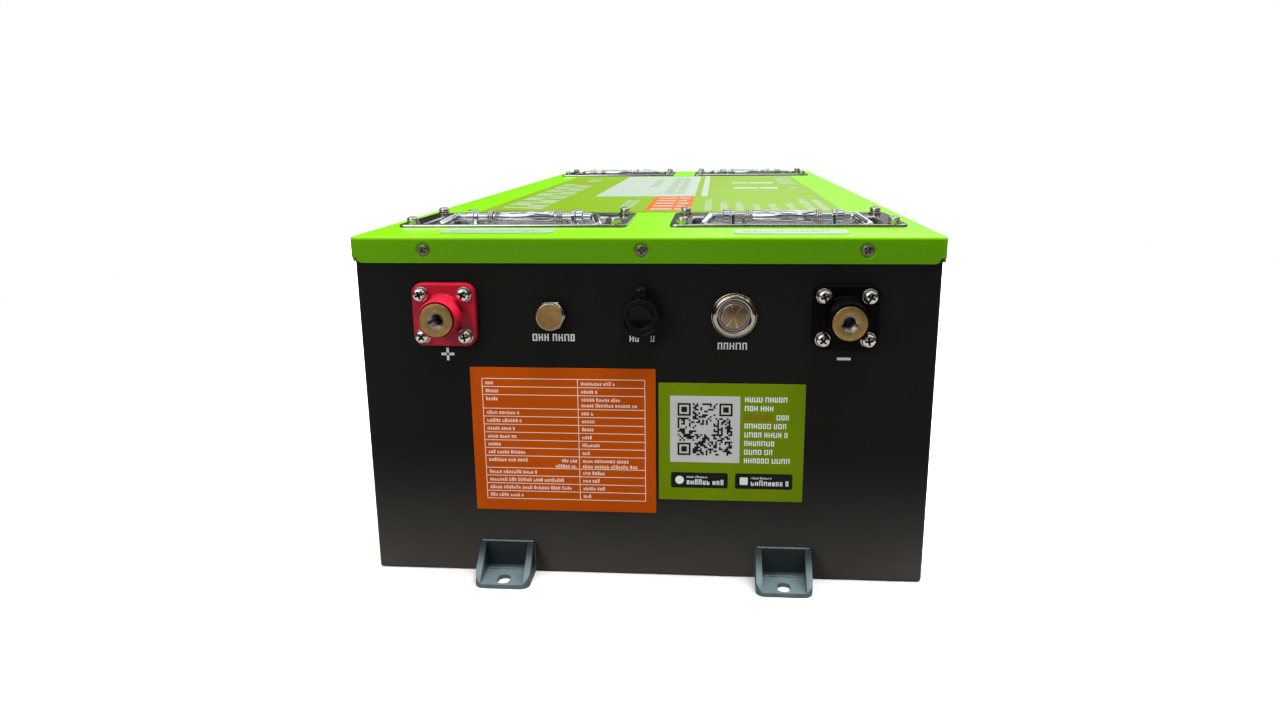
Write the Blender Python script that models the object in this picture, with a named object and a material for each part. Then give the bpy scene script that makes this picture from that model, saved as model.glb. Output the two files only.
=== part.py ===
"""Deep cycle battery: a long sheet steel case with a green tray lid.

The pack is lifted by four folding handles set in dished plates in the lid.
Its front panel carries two stud terminals, an air vent, a data port under a
hinged dust cap and a push button.  Four slotted feet are welded low on the
two ends.  Inside are four cell modules, their end plates, a control unit,
busbars, cables and an insulating board.

X runs across the front panel, Y runs from the front panel to the rear and
Z runs up.  The origin is on the ground under the middle of the case.
"""

import math

import bmesh
import bpy
from mathutils import Vector

MM = 0.001
GAP = 0.3

# Lid and case, in millimetres.
LID_WIDTH = 330.0
LID_LENGTH = 800.0
LID_TOP = 202.5
LID_SKIRT = 14.7
LID_SHEET = 1.5
CASE_WIDTH = LID_WIDTH - 2.0 * (LID_SHEET + GAP)
CASE_LENGTH = LID_LENGTH - 2.0 * (LID_SHEET + GAP)
CASE_SHEET = 2.0
CASE_RIM_TOP = 199.0
CASE_RIM_WIDTH = 12.0
CORNER_RADIUS = 3.5
GASKET_WIDTH = 9.0
GASKET_THICK = 1.4

# The front panel is the outside of the case wall that faces minus Y.
PANEL_Y = -CASE_LENGTH / 2.0
PANEL_ROW_Z = 158.7
TERMINAL_X = 112.0
VENT_X = -51.0
PORT_X = 0.0
BUTTON_X = 51.3

# Lid screws go through the skirt at both ends.
LID_SCREW_X = 122.5
LID_SCREW_Z = 195.0
LID_SCREW_HEAD_RADIUS = 3.3
LID_SCREW_SHANK_RADIUS = 1.9

# Terminals.
FLANGE_SIDE = 36.0
FLANGE_THICK = 4.8
BOSS_RADIUS = 11.2
BOSS_REACH = 19.2
STUD_RADIUS = 9.4
STUD_REACH = 20.6
STUD_INNER = 14.0
STUD_HOLE_RADIUS = 4.1
STUD_HOLE_DEPTH = 17.0

# Feet.
FOOT_X = 82.0
FOOT_WIDTH = 32.2
FOOT_REACH = 23.4
FOOT_HEIGHT = 19.8
FOOT_BASE = 2.4
FOOT_BACK = 2.4
FOOT_CORNER = 5.5
FOOT_CHEEK = 3.6
SLOT_WIDTH = 7.4
SLOT_LENGTH = 11.0
SLOT_FROM_CASE = 15.8

# Folding handles: plate, dish, hinge bar and loop.
HANDLE_X = 83.0
HANDLE_Y = 310.0
PLATE_WIDTH = 140.0
PLATE_DEPTH = 82.0
PLATE_THICK = 1.5
DISH_HALF_WIDTH = 57.0
DISH_NEAR = -38.0
DISH_FAR = 13.0
DISH_DEPTH = 10.0
HINGE_Y = 3.0
HINGE_Z = 2.6
ROD_RADIUS = 2.8
LUG_INNER_X = 30.4
LUG_OUTER_X = 38.2
SLEEVE_HALF = 19.4
SLEEVE_RADIUS = 4.3
LOOP_HINGE_HALF = 46.0
LOOP_GRIP_HALF = 52.5
LOOP_REACH = 32.0
LOOP_DROP = 4.6

# Cells and the parts round them.
MODULE_WIDTH = 158.0
MODULE_LENGTH = 297.0
MODULE_HEIGHT = 158.0
MODULE_BOTTOM = 4.0
CELLS_PER_MODULE = 6
MODULE_FRONT_Y = -221.0


# Materials.

def material(name, color, roughness, metallic):
    """Return a Principled material with one colour."""
    mat = bpy.data.materials.new(name)
    mat.use_nodes = True
    shader = mat.node_tree.nodes["Principled BSDF"]
    shader.inputs["Base Color"].default_value = (color[0], color[1], color[2], 1.0)
    shader.inputs["Roughness"].default_value = roughness
    shader.inputs["Metallic"].default_value = metallic
    mat.diffuse_color = (color[0], color[1], color[2], 1.0)
    return mat


def all_materials():
    """Return the materials of the pack by name."""
    table = {}
    table["case_paint"] = material("case_paint", (0.010, 0.010, 0.009), 0.45, 0.0)
    table["lid_paint"] = material("lid_paint", (0.33, 0.85, 0.02), 0.40, 0.0)
    table["foot_paint"] = material("foot_paint", (0.062, 0.094, 0.107), 0.50, 0.3)
    table["chrome"] = material("chrome", (0.70, 0.70, 0.72), 0.12, 1.0)
    table["steel"] = material("steel", (0.42, 0.40, 0.37), 0.30, 1.0)
    table["red_plastic"] = material("red_plastic", (0.42, 0.014, 0.03), 0.35, 0.0)
    table["black_plastic"] = material("black_plastic", (0.012, 0.012, 0.013), 0.40, 0.0)
    table["rubber"] = material("rubber", (0.010, 0.010, 0.011), 0.60, 0.0)
    table["brass"] = material("brass", (0.25, 0.17, 0.07), 0.35, 1.0)
    table["nickel"] = material("nickel", (0.50, 0.47, 0.42), 0.25, 1.0)
    table["ring_plastic"] = material("ring_plastic", (0.16, 0.17, 0.18), 0.40, 0.0)
    table["orange_label"] = material("orange_label", (0.43, 0.08, 0.003), 0.55, 0.0)
    table["olive_label"] = material("olive_label", (0.15, 0.22, 0.002), 0.55, 0.0)
    table["pale_label"] = material("pale_label", (0.45, 0.50, 0.52), 0.55, 0.0)
    table["cell_wrap"] = material("cell_wrap", (0.02, 0.07, 0.30), 0.40, 0.0)
    table["board"] = material("board", (0.55, 0.50, 0.20), 0.55, 0.0)
    table["copper"] = material("copper", (0.60, 0.25, 0.12), 0.35, 1.0)
    table["aluminium"] = material("aluminium", (0.45, 0.45, 0.46), 0.40, 1.0)
    table["cable_red"] = material("cable_red", (0.40, 0.01, 0.01), 0.50, 0.0)
    table["cable_black"] = material("cable_black", (0.01, 0.01, 0.01), 0.50, 0.0)
    return table


# Objects.

def to_metres(point):
    """Turn a point in millimetres into a vector in metres."""
    return Vector(point) * MM


def place(name, bm, mat, at=(0.0, 0.0, 0.0), turn=0.0):
    """Make a named object from a mesh in millimetres about the point at."""
    bmesh.ops.scale(bm, vec=(MM, MM, MM), verts=bm.verts)
    bmesh.ops.recalc_face_normals(bm, faces=bm.faces)
    mesh = bpy.data.meshes.new(name)
    bm.to_mesh(mesh)
    bm.free()
    obj = bpy.data.objects.new(name, mesh)
    bpy.context.scene.collection.objects.link(obj)
    obj.location = to_metres(at)
    obj.rotation_euler = (0.0, 0.0, turn)
    if mat is not None:
        mesh.materials.append(mat)
    return obj


def cutter(name, bm, at=(0.0, 0.0, 0.0), turn=0.0):
    """Make a hidden object that is only used to shape another one."""
    obj = place(name, bm, None, at, turn)
    obj.hide_render = True
    obj.display_type = "WIRE"
    return obj


def combine(target, tool, operation):
    """Cut, join or trim the target with the tool."""
    mod = target.modifiers.new(operation.lower(), "BOOLEAN")
    mod.operation = operation
    mod.solver = "EXACT"
    mod.object = tool


# Outlines and solids.

def rounded_rectangle(half_x, half_y, radius, steps, center=(0.0, 0.0)):
    """Return the outline of a rectangle with round corners."""
    points = []
    for corner in range(4):
        side_x = (1.0, -1.0, -1.0, 1.0)[corner]
        side_y = (1.0, 1.0, -1.0, -1.0)[corner]
        for step in range(steps + 1):
            angle = math.radians(90.0 * corner + 90.0 * step / steps)
            x = center[0] + side_x * (half_x - radius) + radius * math.cos(angle)
            y = center[1] + side_y * (half_y - radius) + radius * math.sin(angle)
            points.append((x, y))
    return points


def circle(radius, sides, center=(0.0, 0.0), start=0.0):
    """Return the outline of a circle."""
    points = []
    for step in range(sides):
        angle = start + 2.0 * math.pi * step / sides
        points.append((center[0] + radius * math.cos(angle), center[1] + radius * math.sin(angle)))
    return points


def loft(bm, rings, closed=False):
    """Join rings of equal size into one closed skin.

    The first and last rings are capped unless the rings close on themselves.
    """
    rows = []
    for ring in rings:
        rows.append([bm.verts.new(point) for point in ring])
    count = len(rows[0])
    pairs = list(zip(rows[:-1], rows[1:]))
    if closed:
        pairs.append((rows[-1], rows[0]))
    for low, high in pairs:
        for i in range(count):
            j = (i + 1) % count
            bm.faces.new((low[i], low[j], high[j], high[i]))
    if not closed:
        bm.faces.new(list(reversed(rows[0])))
        bm.faces.new(rows[-1])


def at_height(outline, z):
    """Lift a flat outline to the height z."""
    return [(x, y, z) for x, y in outline]


def add_prism(bm, outline, low, high):
    """Add an upright prism to a mesh."""
    loft(bm, [at_height(outline, low), at_height(outline, high)])


def add_box(bm, low, high):
    """Add a box between two corners to a mesh."""
    outline = [(low[0], low[1]), (high[0], low[1]), (high[0], high[1]), (low[0], high[1])]
    add_prism(bm, outline, low[2], high[2])


def add_prism_y(bm, outline, near, far):
    """Add a prism that runs along Y, its outline in X and Z."""
    rings = []
    for y in (near, far):
        rings.append([(x, y, z) for x, z in outline])
    loft(bm, rings)


def add_turned(bm, profile, sides, center=(0.0, 0.0, 0.0), start=0.0):
    """Add a turned solid whose axis runs along minus Y.

    The profile holds pairs of radius and reach in front of the center.
    A closed profile round the axis makes a ring.
    """
    rings = []
    for radius, reach in profile:
        ring = []
        for x, z in circle(radius, sides, (center[0], center[2]), start):
            ring.append((x, center[1] - reach, z))
        rings.append(ring)
    return rings


def turned(profile, sides, start=0.0):
    """Return a mesh turned about an axis along minus Y, its ends capped."""
    bm = bmesh.new()
    loft(bm, add_turned(bm, profile, sides, start=start))
    return bm


def turned_ring(profile, sides):
    """Return a mesh of a ring turned about an axis along minus Y."""
    bm = bmesh.new()
    loft(bm, add_turned(bm, profile, sides), closed=True)
    return bm


def rod(bm, path, radius, sides, closed=False):
    """Add a round rod along a path of points."""
    points = [Vector(point) for point in path]
    count = len(points)
    rings = []
    side = None
    for i in range(count):
        if closed:
            before = points[i - 1]
            after = points[(i + 1) % count]
        else:
            before = points[max(i - 1, 0)]
            after = points[min(i + 1, count - 1)]
        along = (after - before).normalized()
        if side is None:
            up = Vector((0.0, 0.0, 1.0))
            if abs(along.z) > 0.9:
                up = Vector((0.0, 1.0, 0.0))
            side = along.cross(up).normalized()
        side = (side - along * side.dot(along)).normalized()
        other = along.cross(side).normalized()
        ring = []
        for step in range(sides):
            angle = 2.0 * math.pi * step / sides
            ring.append(points[i] + side * (radius * math.cos(angle)) + other * (radius * math.sin(angle)))
        rings.append(ring)
    loft(bm, rings, closed)


def rounded_path(corners, radii, steps):
    """Round the corners of a closed flat path."""
    path = []
    count = len(corners)
    for i in range(count):
        here = Vector(corners[i])
        before = (Vector(corners[i - 1]) - here).normalized()
        after = (Vector(corners[(i + 1) % count]) - here).normalized()
        half = before.angle(after) / 2.0
        reach = radii[i] / math.tan(half)
        middle = here + (before + after).normalized() * (radii[i] / math.sin(half))
        first = here + before * reach - middle
        last = here + after * reach - middle
        for step in range(steps + 1):
            arm = first.normalized().slerp(last.normalized(), step / steps)
            path.append(middle + arm * radii[i])
    return path


# Case, lid and gasket.

def panel_holes():
    """Return the cutter mesh of all holes in the two end walls."""
    bm = bmesh.new()
    holes = [(-TERMINAL_X, PANEL_ROW_Z, 10.2), (TERMINAL_X, PANEL_ROW_Z, 10.2)]
    holes += [(VENT_X, PANEL_ROW_Z, 6.3), (PORT_X, PANEL_ROW_Z, 6.8), (BUTTON_X, PANEL_ROW_Z, 11.2)]
    for x, z, radius in holes:
        add_prism_y(bm, circle(radius, 24, (x, z)), PANEL_Y - 5.0, PANEL_Y + 6.0)
    for end in (-1.0, 1.0):
        for x in (-LID_SCREW_X, 0.0, LID_SCREW_X):
            outline = circle(LID_SCREW_SHANK_RADIUS + GAP, 12, (x, LID_SCREW_Z))
            add_prism_y(bm, outline, end * CASE_LENGTH / 2.0 - 6.0, end * CASE_LENGTH / 2.0 + 6.0)
    return bm


def build_case(mat):
    """Build the open case with an inward rim at its top."""
    half_x = CASE_WIDTH / 2.0
    half_y = CASE_LENGTH / 2.0
    inner_x = half_x - CASE_SHEET
    inner_y = half_y - CASE_SHEET
    rim_x = half_x - CASE_RIM_WIDTH
    rim_y = half_y - CASE_RIM_WIDTH
    rim_low = CASE_RIM_TOP - CASE_SHEET
    radius = CORNER_RADIUS
    steps = 4
    rings = [at_height(rounded_rectangle(half_x - 1.2, half_y - 1.2, radius, steps), 0.0)]
    rings.append(at_height(rounded_rectangle(half_x - 0.3, half_y - 0.3, radius, steps), 0.4))
    rings.append(at_height(rounded_rectangle(half_x, half_y, radius, steps), 1.4))
    rings.append(at_height(rounded_rectangle(half_x, half_y, radius, steps), CASE_RIM_TOP))
    rings.append(at_height(rounded_rectangle(rim_x, rim_y, radius, steps), CASE_RIM_TOP))
    rings.append(at_height(rounded_rectangle(rim_x, rim_y, radius, steps), rim_low))
    rings.append(at_height(rounded_rectangle(inner_x, inner_y, 1.5, steps), rim_low))
    rings.append(at_height(rounded_rectangle(inner_x, inner_y, 1.5, steps), CASE_SHEET))
    bm = bmesh.new()
    loft(bm, rings)
    case = place("case_body", bm, mat)
    combine(case, cutter("case_holes", panel_holes()), "DIFFERENCE")
    return case


def lid_cuts():
    """Return the cutter mesh of the dish openings and screw holes in the lid."""
    bm = bmesh.new()
    for side in (-1.0, 1.0):
        for end in (-1.0, 1.0):
            middle = (DISH_NEAR + DISH_FAR) / 2.0
            center = (side * HANDLE_X, end * (HANDLE_Y - middle))
            half_x = DISH_HALF_WIDTH + PLATE_THICK + 0.8
            half_y = (DISH_FAR - DISH_NEAR) / 2.0 + PLATE_THICK + 0.8
            outline = rounded_rectangle(half_x, half_y, 9.0, 3, center)
            add_prism(bm, outline, LID_TOP - 8.0, LID_TOP + 5.0)
    for end in (-1.0, 1.0):
        for x in (-LID_SCREW_X, 0.0, LID_SCREW_X):
            outline = circle(LID_SCREW_SHANK_RADIUS + GAP, 12, (x, LID_SCREW_Z))
            add_prism_y(bm, outline, end * LID_LENGTH / 2.0 - 6.0, end * LID_LENGTH / 2.0 + 6.0)
    return bm


def build_lid(mat):
    """Build the tray lid: a flat top with a short skirt all round."""
    half_x = LID_WIDTH / 2.0
    half_y = LID_LENGTH / 2.0
    inner_x = half_x - LID_SHEET
    inner_y = half_y - LID_SHEET
    low = LID_TOP - LID_SKIRT
    under = LID_TOP - LID_SHEET
    radius = CORNER_RADIUS
    steps = 4
    rings = []
    for inset, drop in ((1.6, 0.0), (0.8, 0.2), (0.2, 0.8), (0.0, 1.6)):
        outline = rounded_rectangle(half_x - inset, half_y - inset, radius - inset / 2.0, steps)
        rings.append(at_height(outline, LID_TOP - drop))
    rings.append(at_height(rounded_rectangle(half_x, half_y, radius, steps), low))
    rings.append(at_height(rounded_rectangle(inner_x, inner_y, radius - LID_SHEET, steps), low))
    rings.append(at_height(rounded_rectangle(inner_x, inner_y, radius - LID_SHEET, steps), under))
    bm = bmesh.new()
    loft(bm, rings)
    lid = place("lid_tray", bm, mat)
    combine(lid, cutter("lid_openings", lid_cuts()), "DIFFERENCE")
    return lid


def build_gasket(mat):
    """Build the rubber frame between the case rim and the lid."""
    outer_x = CASE_WIDTH / 2.0 - 1.5
    outer_y = CASE_LENGTH / 2.0 - 1.5
    low = CASE_RIM_TOP + 0.3
    high = low + GASKET_THICK
    outer = rounded_rectangle(outer_x, outer_y, 3.0, 3)
    inner = rounded_rectangle(outer_x - GASKET_WIDTH, outer_y - GASKET_WIDTH, 3.0, 3)
    rings = [at_height(outer, low), at_height(outer, high), at_height(inner, high), at_height(inner, low)]
    bm = bmesh.new()
    loft(bm, rings, closed=True)
    return place("lid_gasket", bm, mat)


def build_lid_screws(mat):
    """Build the countersunk screws through the skirt at both ends."""
    for end, word in ((-1.0, "front"), (1.0, "rear")):
        for x, side in ((-LID_SCREW_X, "left"), (0.0, "mid"), (LID_SCREW_X, "right")):
            reach = LID_LENGTH / 2.0
            profile = [(LID_SCREW_SHANK_RADIUS, -9.0), (LID_SCREW_SHANK_RADIUS, 0.3)]
            profile += [(LID_SCREW_HEAD_RADIUS, 0.3), (LID_SCREW_HEAD_RADIUS, 0.9)]
            profile += [(LID_SCREW_HEAD_RADIUS - 1.2, 1.6)]
            bm = turned(profile, 12)
            turn = 0.0 if end < 0.0 else math.pi
            place("lid_screw_%s_%s" % (word, side), bm, mat, (x, end * reach, LID_SCREW_Z), turn)


# Feet.

def foot_side_outline():
    """Return the side view of a foot as pairs of reach and height."""
    reach = FOOT_REACH
    front = [(FOOT_BACK + 0.4, FOOT_HEIGHT), (reach - 2.0, 5.0), (reach - 0.4, 2.6), (reach, 0.0)]
    return [(0.0, 0.0), (0.0, FOOT_HEIGHT)] + front


def build_foot(name, mat, x, end):
    """Build one foot, open at its top and front: a slotted base, two cheeks and a back plate."""
    turn = 0.0 if end < 0.0 else math.pi
    at = (x, end * (CASE_LENGTH / 2.0 + GAP), 0.0)
    half = FOOT_WIDTH / 2.0
    bm = bmesh.new()
    rings = []
    for side in (-half, half):
        rings.append([(side, -reach, z) for reach, z in foot_side_outline()])
    loft(bm, rings)
    foot = place(name, bm, mat, at, turn)
    plan = [(-half - 1.0, 2.0)]
    for first, side in ((180.0, -1.0), (270.0, 1.0)):
        for step in range(6):
            angle = math.radians(first + 90.0 * step / 5.0)
            px = side * (half - FOOT_CORNER) + FOOT_CORNER * math.cos(angle)
            plan.append((px, FOOT_CORNER - FOOT_REACH + FOOT_CORNER * math.sin(angle)))
    plan.append((half + 1.0, 2.0))
    bm = bmesh.new()
    add_prism(bm, plan, -2.0, FOOT_HEIGHT + 2.0)
    combine(foot, cutter(name + "_plan", bm, at, turn), "INTERSECT")
    bm = bmesh.new()
    inner = half - FOOT_CHEEK
    add_box(bm, (-inner, -FOOT_REACH - 3.0, FOOT_BASE), (inner, -FOOT_BACK, FOOT_HEIGHT + 3.0))
    combine(foot, cutter(name + "_inside", bm, at, turn), "DIFFERENCE")
    bm = bmesh.new()
    slot = rounded_rectangle(SLOT_WIDTH / 2.0, SLOT_LENGTH / 2.0, SLOT_WIDTH / 2.0 - 0.01, 6, (0.0, -SLOT_FROM_CASE))
    add_prism(bm, slot, -2.0, FOOT_BASE + 2.0)
    combine(foot, cutter(name + "_slot", bm, at, turn), "DIFFERENCE")
    return foot


# Folding handles.

def handle_points():
    """Return the place and turn of each handle by its short name."""
    table = []
    for word, end in (("front", -1.0), ("rear", 1.0)):
        for side_word, side in (("left", -1.0), ("right", 1.0)):
            turn = 0.0 if end < 0.0 else math.pi
            table.append(("%s_%s" % (word, side_word), (side * HANDLE_X, end * HANDLE_Y, LID_TOP), turn))
    return table


def plate_mesh():
    """Return the plate: a flat rim round a rectangular dish."""
    half_y = (DISH_FAR - DISH_NEAR) / 2.0
    center = (0.0, (DISH_FAR + DISH_NEAR) / 2.0)
    wall = PLATE_THICK
    low = GAP
    high = GAP + wall
    floor = high - DISH_DEPTH
    steps = 3
    rim = rounded_rectangle(PLATE_WIDTH / 2.0, PLATE_DEPTH / 2.0, 3.0, steps)
    outside = rounded_rectangle(DISH_HALF_WIDTH + wall, half_y + wall, 8.5, steps, center)
    inside = rounded_rectangle(DISH_HALF_WIDTH, half_y, 7.0, steps, center)
    bottom_out = rounded_rectangle(DISH_HALF_WIDTH + wall - 1.5, half_y + wall - 1.5, 7.0, steps, center)
    bottom_in = rounded_rectangle(DISH_HALF_WIDTH - 1.5, half_y - 1.5, 5.5, steps, center)
    rings = [at_height(bottom_out, floor - wall), at_height(outside, floor + 1.0), at_height(outside, low)]
    rings += [at_height(rim, low), at_height(rim, high), at_height(inside, high)]
    rings += [at_height(inside, floor + 2.0), at_height(bottom_in, floor)]
    bm = bmesh.new()
    loft(bm, rings)
    return bm


def lug_mesh():
    """Return the two bearing lugs that stand in the dish."""
    bm = bmesh.new()
    floor = GAP + PLATE_THICK - DISH_DEPTH - 0.6
    crown = 5.2
    outline = [(HINGE_Y - 8.0, floor), (HINGE_Y - crown, HINGE_Z)]
    for step in range(1, 8):
        angle = math.radians(180.0 - 180.0 * step / 8.0)
        outline.append((HINGE_Y + crown * math.cos(angle), HINGE_Z + crown * math.sin(angle)))
    outline += [(HINGE_Y + crown, HINGE_Z), (HINGE_Y + 8.0, floor)]
    for side in (-1.0, 1.0):
        rings = []
        for x in (LUG_INNER_X, LUG_OUTER_X):
            rings.append([(side * x, y, z) for y, z in outline])
        loft(bm, rings)
    return bm


def lug_bore_mesh():
    """Return the cutter of the bores for the hinge bar."""
    bm = bmesh.new()
    rings = []
    for x in (-LUG_OUTER_X - 4.0, LUG_OUTER_X + 4.0):
        ring = []
        for y, z in circle(ROD_RADIUS + 0.35, 16, (HINGE_Y, HINGE_Z)):
            ring.append((x, y, z))
        rings.append(ring)
    loft(bm, rings)
    return bm


def loop_mesh():
    """Return the lifting loop about the middle of its hinge bar."""
    drop = -LOOP_DROP
    corners = [(-LOOP_HINGE_HALF, 0.0, 0.0), (LOOP_HINGE_HALF, 0.0, 0.0)]
    corners += [(LOOP_GRIP_HALF, -LOOP_REACH, drop), (-LOOP_GRIP_HALF, -LOOP_REACH, drop)]
    path = rounded_path(corners, (5.0, 5.0, 8.0, 8.0), 4)
    bm = bmesh.new()
    rod(bm, path, ROD_RADIUS, 12, closed=True)
    return bm


def sleeve_mesh():
    """Return the tube on the middle of the hinge bar."""
    bm = bmesh.new()
    rings = []
    inner = ROD_RADIUS + 0.3
    half = SLEEVE_HALF
    for x, radius in ((-half, inner), (-half, SLEEVE_RADIUS), (half, SLEEVE_RADIUS), (half, inner)):
        rings.append([(x, y, z) for y, z in circle(radius, 16)])
    loft(bm, rings, closed=True)
    return bm


def build_handle(word, at, turn, mats):
    """Build one folding handle: plate with lugs, loop and sleeve."""
    plate = place("handle_plate_" + word, plate_mesh(), mats["chrome"], at, turn)
    combine(plate, cutter("handle_lugs_" + word, lug_mesh(), at, turn), "UNION")
    combine(plate, cutter("handle_bores_" + word, lug_bore_mesh(), at, turn), "DIFFERENCE")
    forward = 1.0 if turn == 0.0 else -1.0
    hinge = (at[0], at[1] + forward * HINGE_Y, at[2] + HINGE_Z)
    place("handle_loop_" + word, loop_mesh(), mats["chrome"], hinge, turn)
    place("handle_sleeve_" + word, sleeve_mesh(), mats["chrome"], hinge, turn)


# Terminals.

def build_terminal(word, x, plastic, metal):
    """Build one terminal: a plastic flange with a boss round a metal stud."""
    at = (x, PANEL_Y - GAP, PANEL_ROW_Z)
    half = FLANGE_SIDE / 2.0
    bm = bmesh.new()
    square = rounded_rectangle(half, half, 6.0, 5)
    small = rounded_rectangle(half - 0.6, half - 0.6, 5.4, 5)
    rings = []
    for outline, reach in ((square, 0.0), (square, FLANGE_THICK - 0.6), (small, FLANGE_THICK)):
        rings.append([(px, -reach, pz) for px, pz in outline])
    loft(bm, rings)
    flange = place("terminal_flange_" + word, bm, plastic, at)
    profile = [(BOSS_RADIUS + 0.4, 1.0), (BOSS_RADIUS + 0.4, FLANGE_THICK + 0.6)]
    profile += [(BOSS_RADIUS, FLANGE_THICK + 1.2), (BOSS_RADIUS, BOSS_REACH - 0.7), (BOSS_RADIUS - 0.6, BOSS_REACH)]
    combine(flange, cutter("terminal_boss_" + word, turned(profile, 32), at), "UNION")
    bore = STUD_RADIUS + 0.3
    combine(flange, cutter("terminal_bore_" + word, turned([(bore, -3.0), (bore, 30.0)], 32), at), "DIFFERENCE")
    profile = [(STUD_RADIUS, -STUD_INNER), (STUD_RADIUS, STUD_REACH - 0.5), (STUD_RADIUS - 0.5, STUD_REACH)]
    profile += [(STUD_HOLE_RADIUS + 0.5, STUD_REACH), (STUD_HOLE_RADIUS, STUD_REACH - 0.5)]
    profile += [(STUD_HOLE_RADIUS, STUD_REACH - STUD_HOLE_DEPTH)]
    place("terminal_stud_" + word, turned(profile, 32), metal, at)


# Vent, port and button.

def build_vent(mats):
    """Build the air vent: a hexagon body and a round cap."""
    at = (VENT_X, PANEL_Y - GAP, PANEL_ROW_Z)
    profile = [(5.9, -11.0), (5.9, 0.0), (8.8, 0.0), (8.8, 5.4), (7.0, 5.4), (7.0, 5.9)]
    bm = bmesh.new()
    rings = []
    for radius, reach in profile:
        ring = []
        for step in range(24):
            angle = 2.0 * math.pi * step / 24.0
            fold = (angle % (math.pi / 3.0)) - math.pi / 6.0
            size = radius
            if radius > 8.5:
                size = min(radius, 7.9 / math.cos(fold))
            ring.append((size * math.cos(angle), -reach, size * math.sin(angle)))
        rings.append(ring)
    loft(bm, rings)
    place("vent_body", bm, mats["nickel"], at)
    profile = [(7.2, 6.2), (7.8, 6.6), (7.8, 8.2), (7.4, 8.6)]
    place("vent_cap", turned(profile, 24), mats["brass"], at)
    build_nut("vent_nut", VENT_X, 5.9, 10.0, 4.0, mats["nickel"])


def build_nut(name, x, bore, size, thick, mat):
    """Build a hexagon nut on the inside of the front panel."""
    back = CASE_SHEET + GAP
    rings = []
    sides = 24
    for outer, reach in ((False, -back), (True, -back), (True, -back - thick), (False, -back - thick)):
        ring = []
        for step in range(sides):
            angle = 2.0 * math.pi * step / sides
            fold = (angle % (math.pi / 3.0)) - math.pi / 6.0
            radius = size * math.cos(math.pi / 6.0) / math.cos(fold) if outer else bore + 0.3
            ring.append((radius * math.cos(angle), -reach, radius * math.sin(angle)))
        rings.append(ring)
    bm = bmesh.new()
    loft(bm, rings, closed=True)
    place(name, bm, mat, (x, PANEL_Y, PANEL_ROW_Z))


def build_port(mats):
    """Build the data port, its nut, the tether ring and the hinged cap."""
    at = (PORT_X, PANEL_Y - GAP, PANEL_ROW_Z)
    profile = [(6.4, -14.0), (6.4, 0.0), (10.2, 0.0), (10.2, 1.0), (7.6, 1.0), (7.6, 2.6), (8.4, 2.6)]
    profile += [(8.4, 8.3), (7.9, 8.8), (6.6, 8.8), (6.6, 3.0)]
    place("port_body", turned(profile, 24), mats["black_plastic"], at)
    build_nut("port_nut", PORT_X, 6.4, 10.5, 3.5, mats["nickel"])
    build_tether(at, mats["rubber"])
    build_cap(at, mats["rubber"])


CAP_HINGE_Z = 17.4
CAP_HINGE_REACH = 5.2
STRAP_WIDTH = 5.4


def build_tether(at, mat):
    """Build the fixed ring of the tether and its tab up to the bend."""
    half = STRAP_WIDTH / 2.0
    bm = bmesh.new()
    rings = []
    for radius, reach in ((8.0, 1.3), (9.9, 1.3), (9.9, 2.3), (8.0, 2.3)):
        rings.append([(x, -reach, z) for x, z in circle(radius, 24)])
    loft(bm, rings, closed=True)
    tether = place("cap_tether", bm, mat, at)
    bm = bmesh.new()
    side = [(1.3, 8.6), (2.3, 8.6), (2.3, 14.8), (2.7, 15.7), (3.4, 16.2), (4.1, 16.3)]
    side += [(4.1, 17.2), (3.0, 17.1), (2.0, 16.6), (1.3, 15.4)]
    rings = []
    for x in (-half, half):
        rings.append([(x, -reach, z) for reach, z in side])
    loft(bm, rings)
    combine(tether, cutter("cap_tether_tab", bm, at), "UNION")


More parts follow.
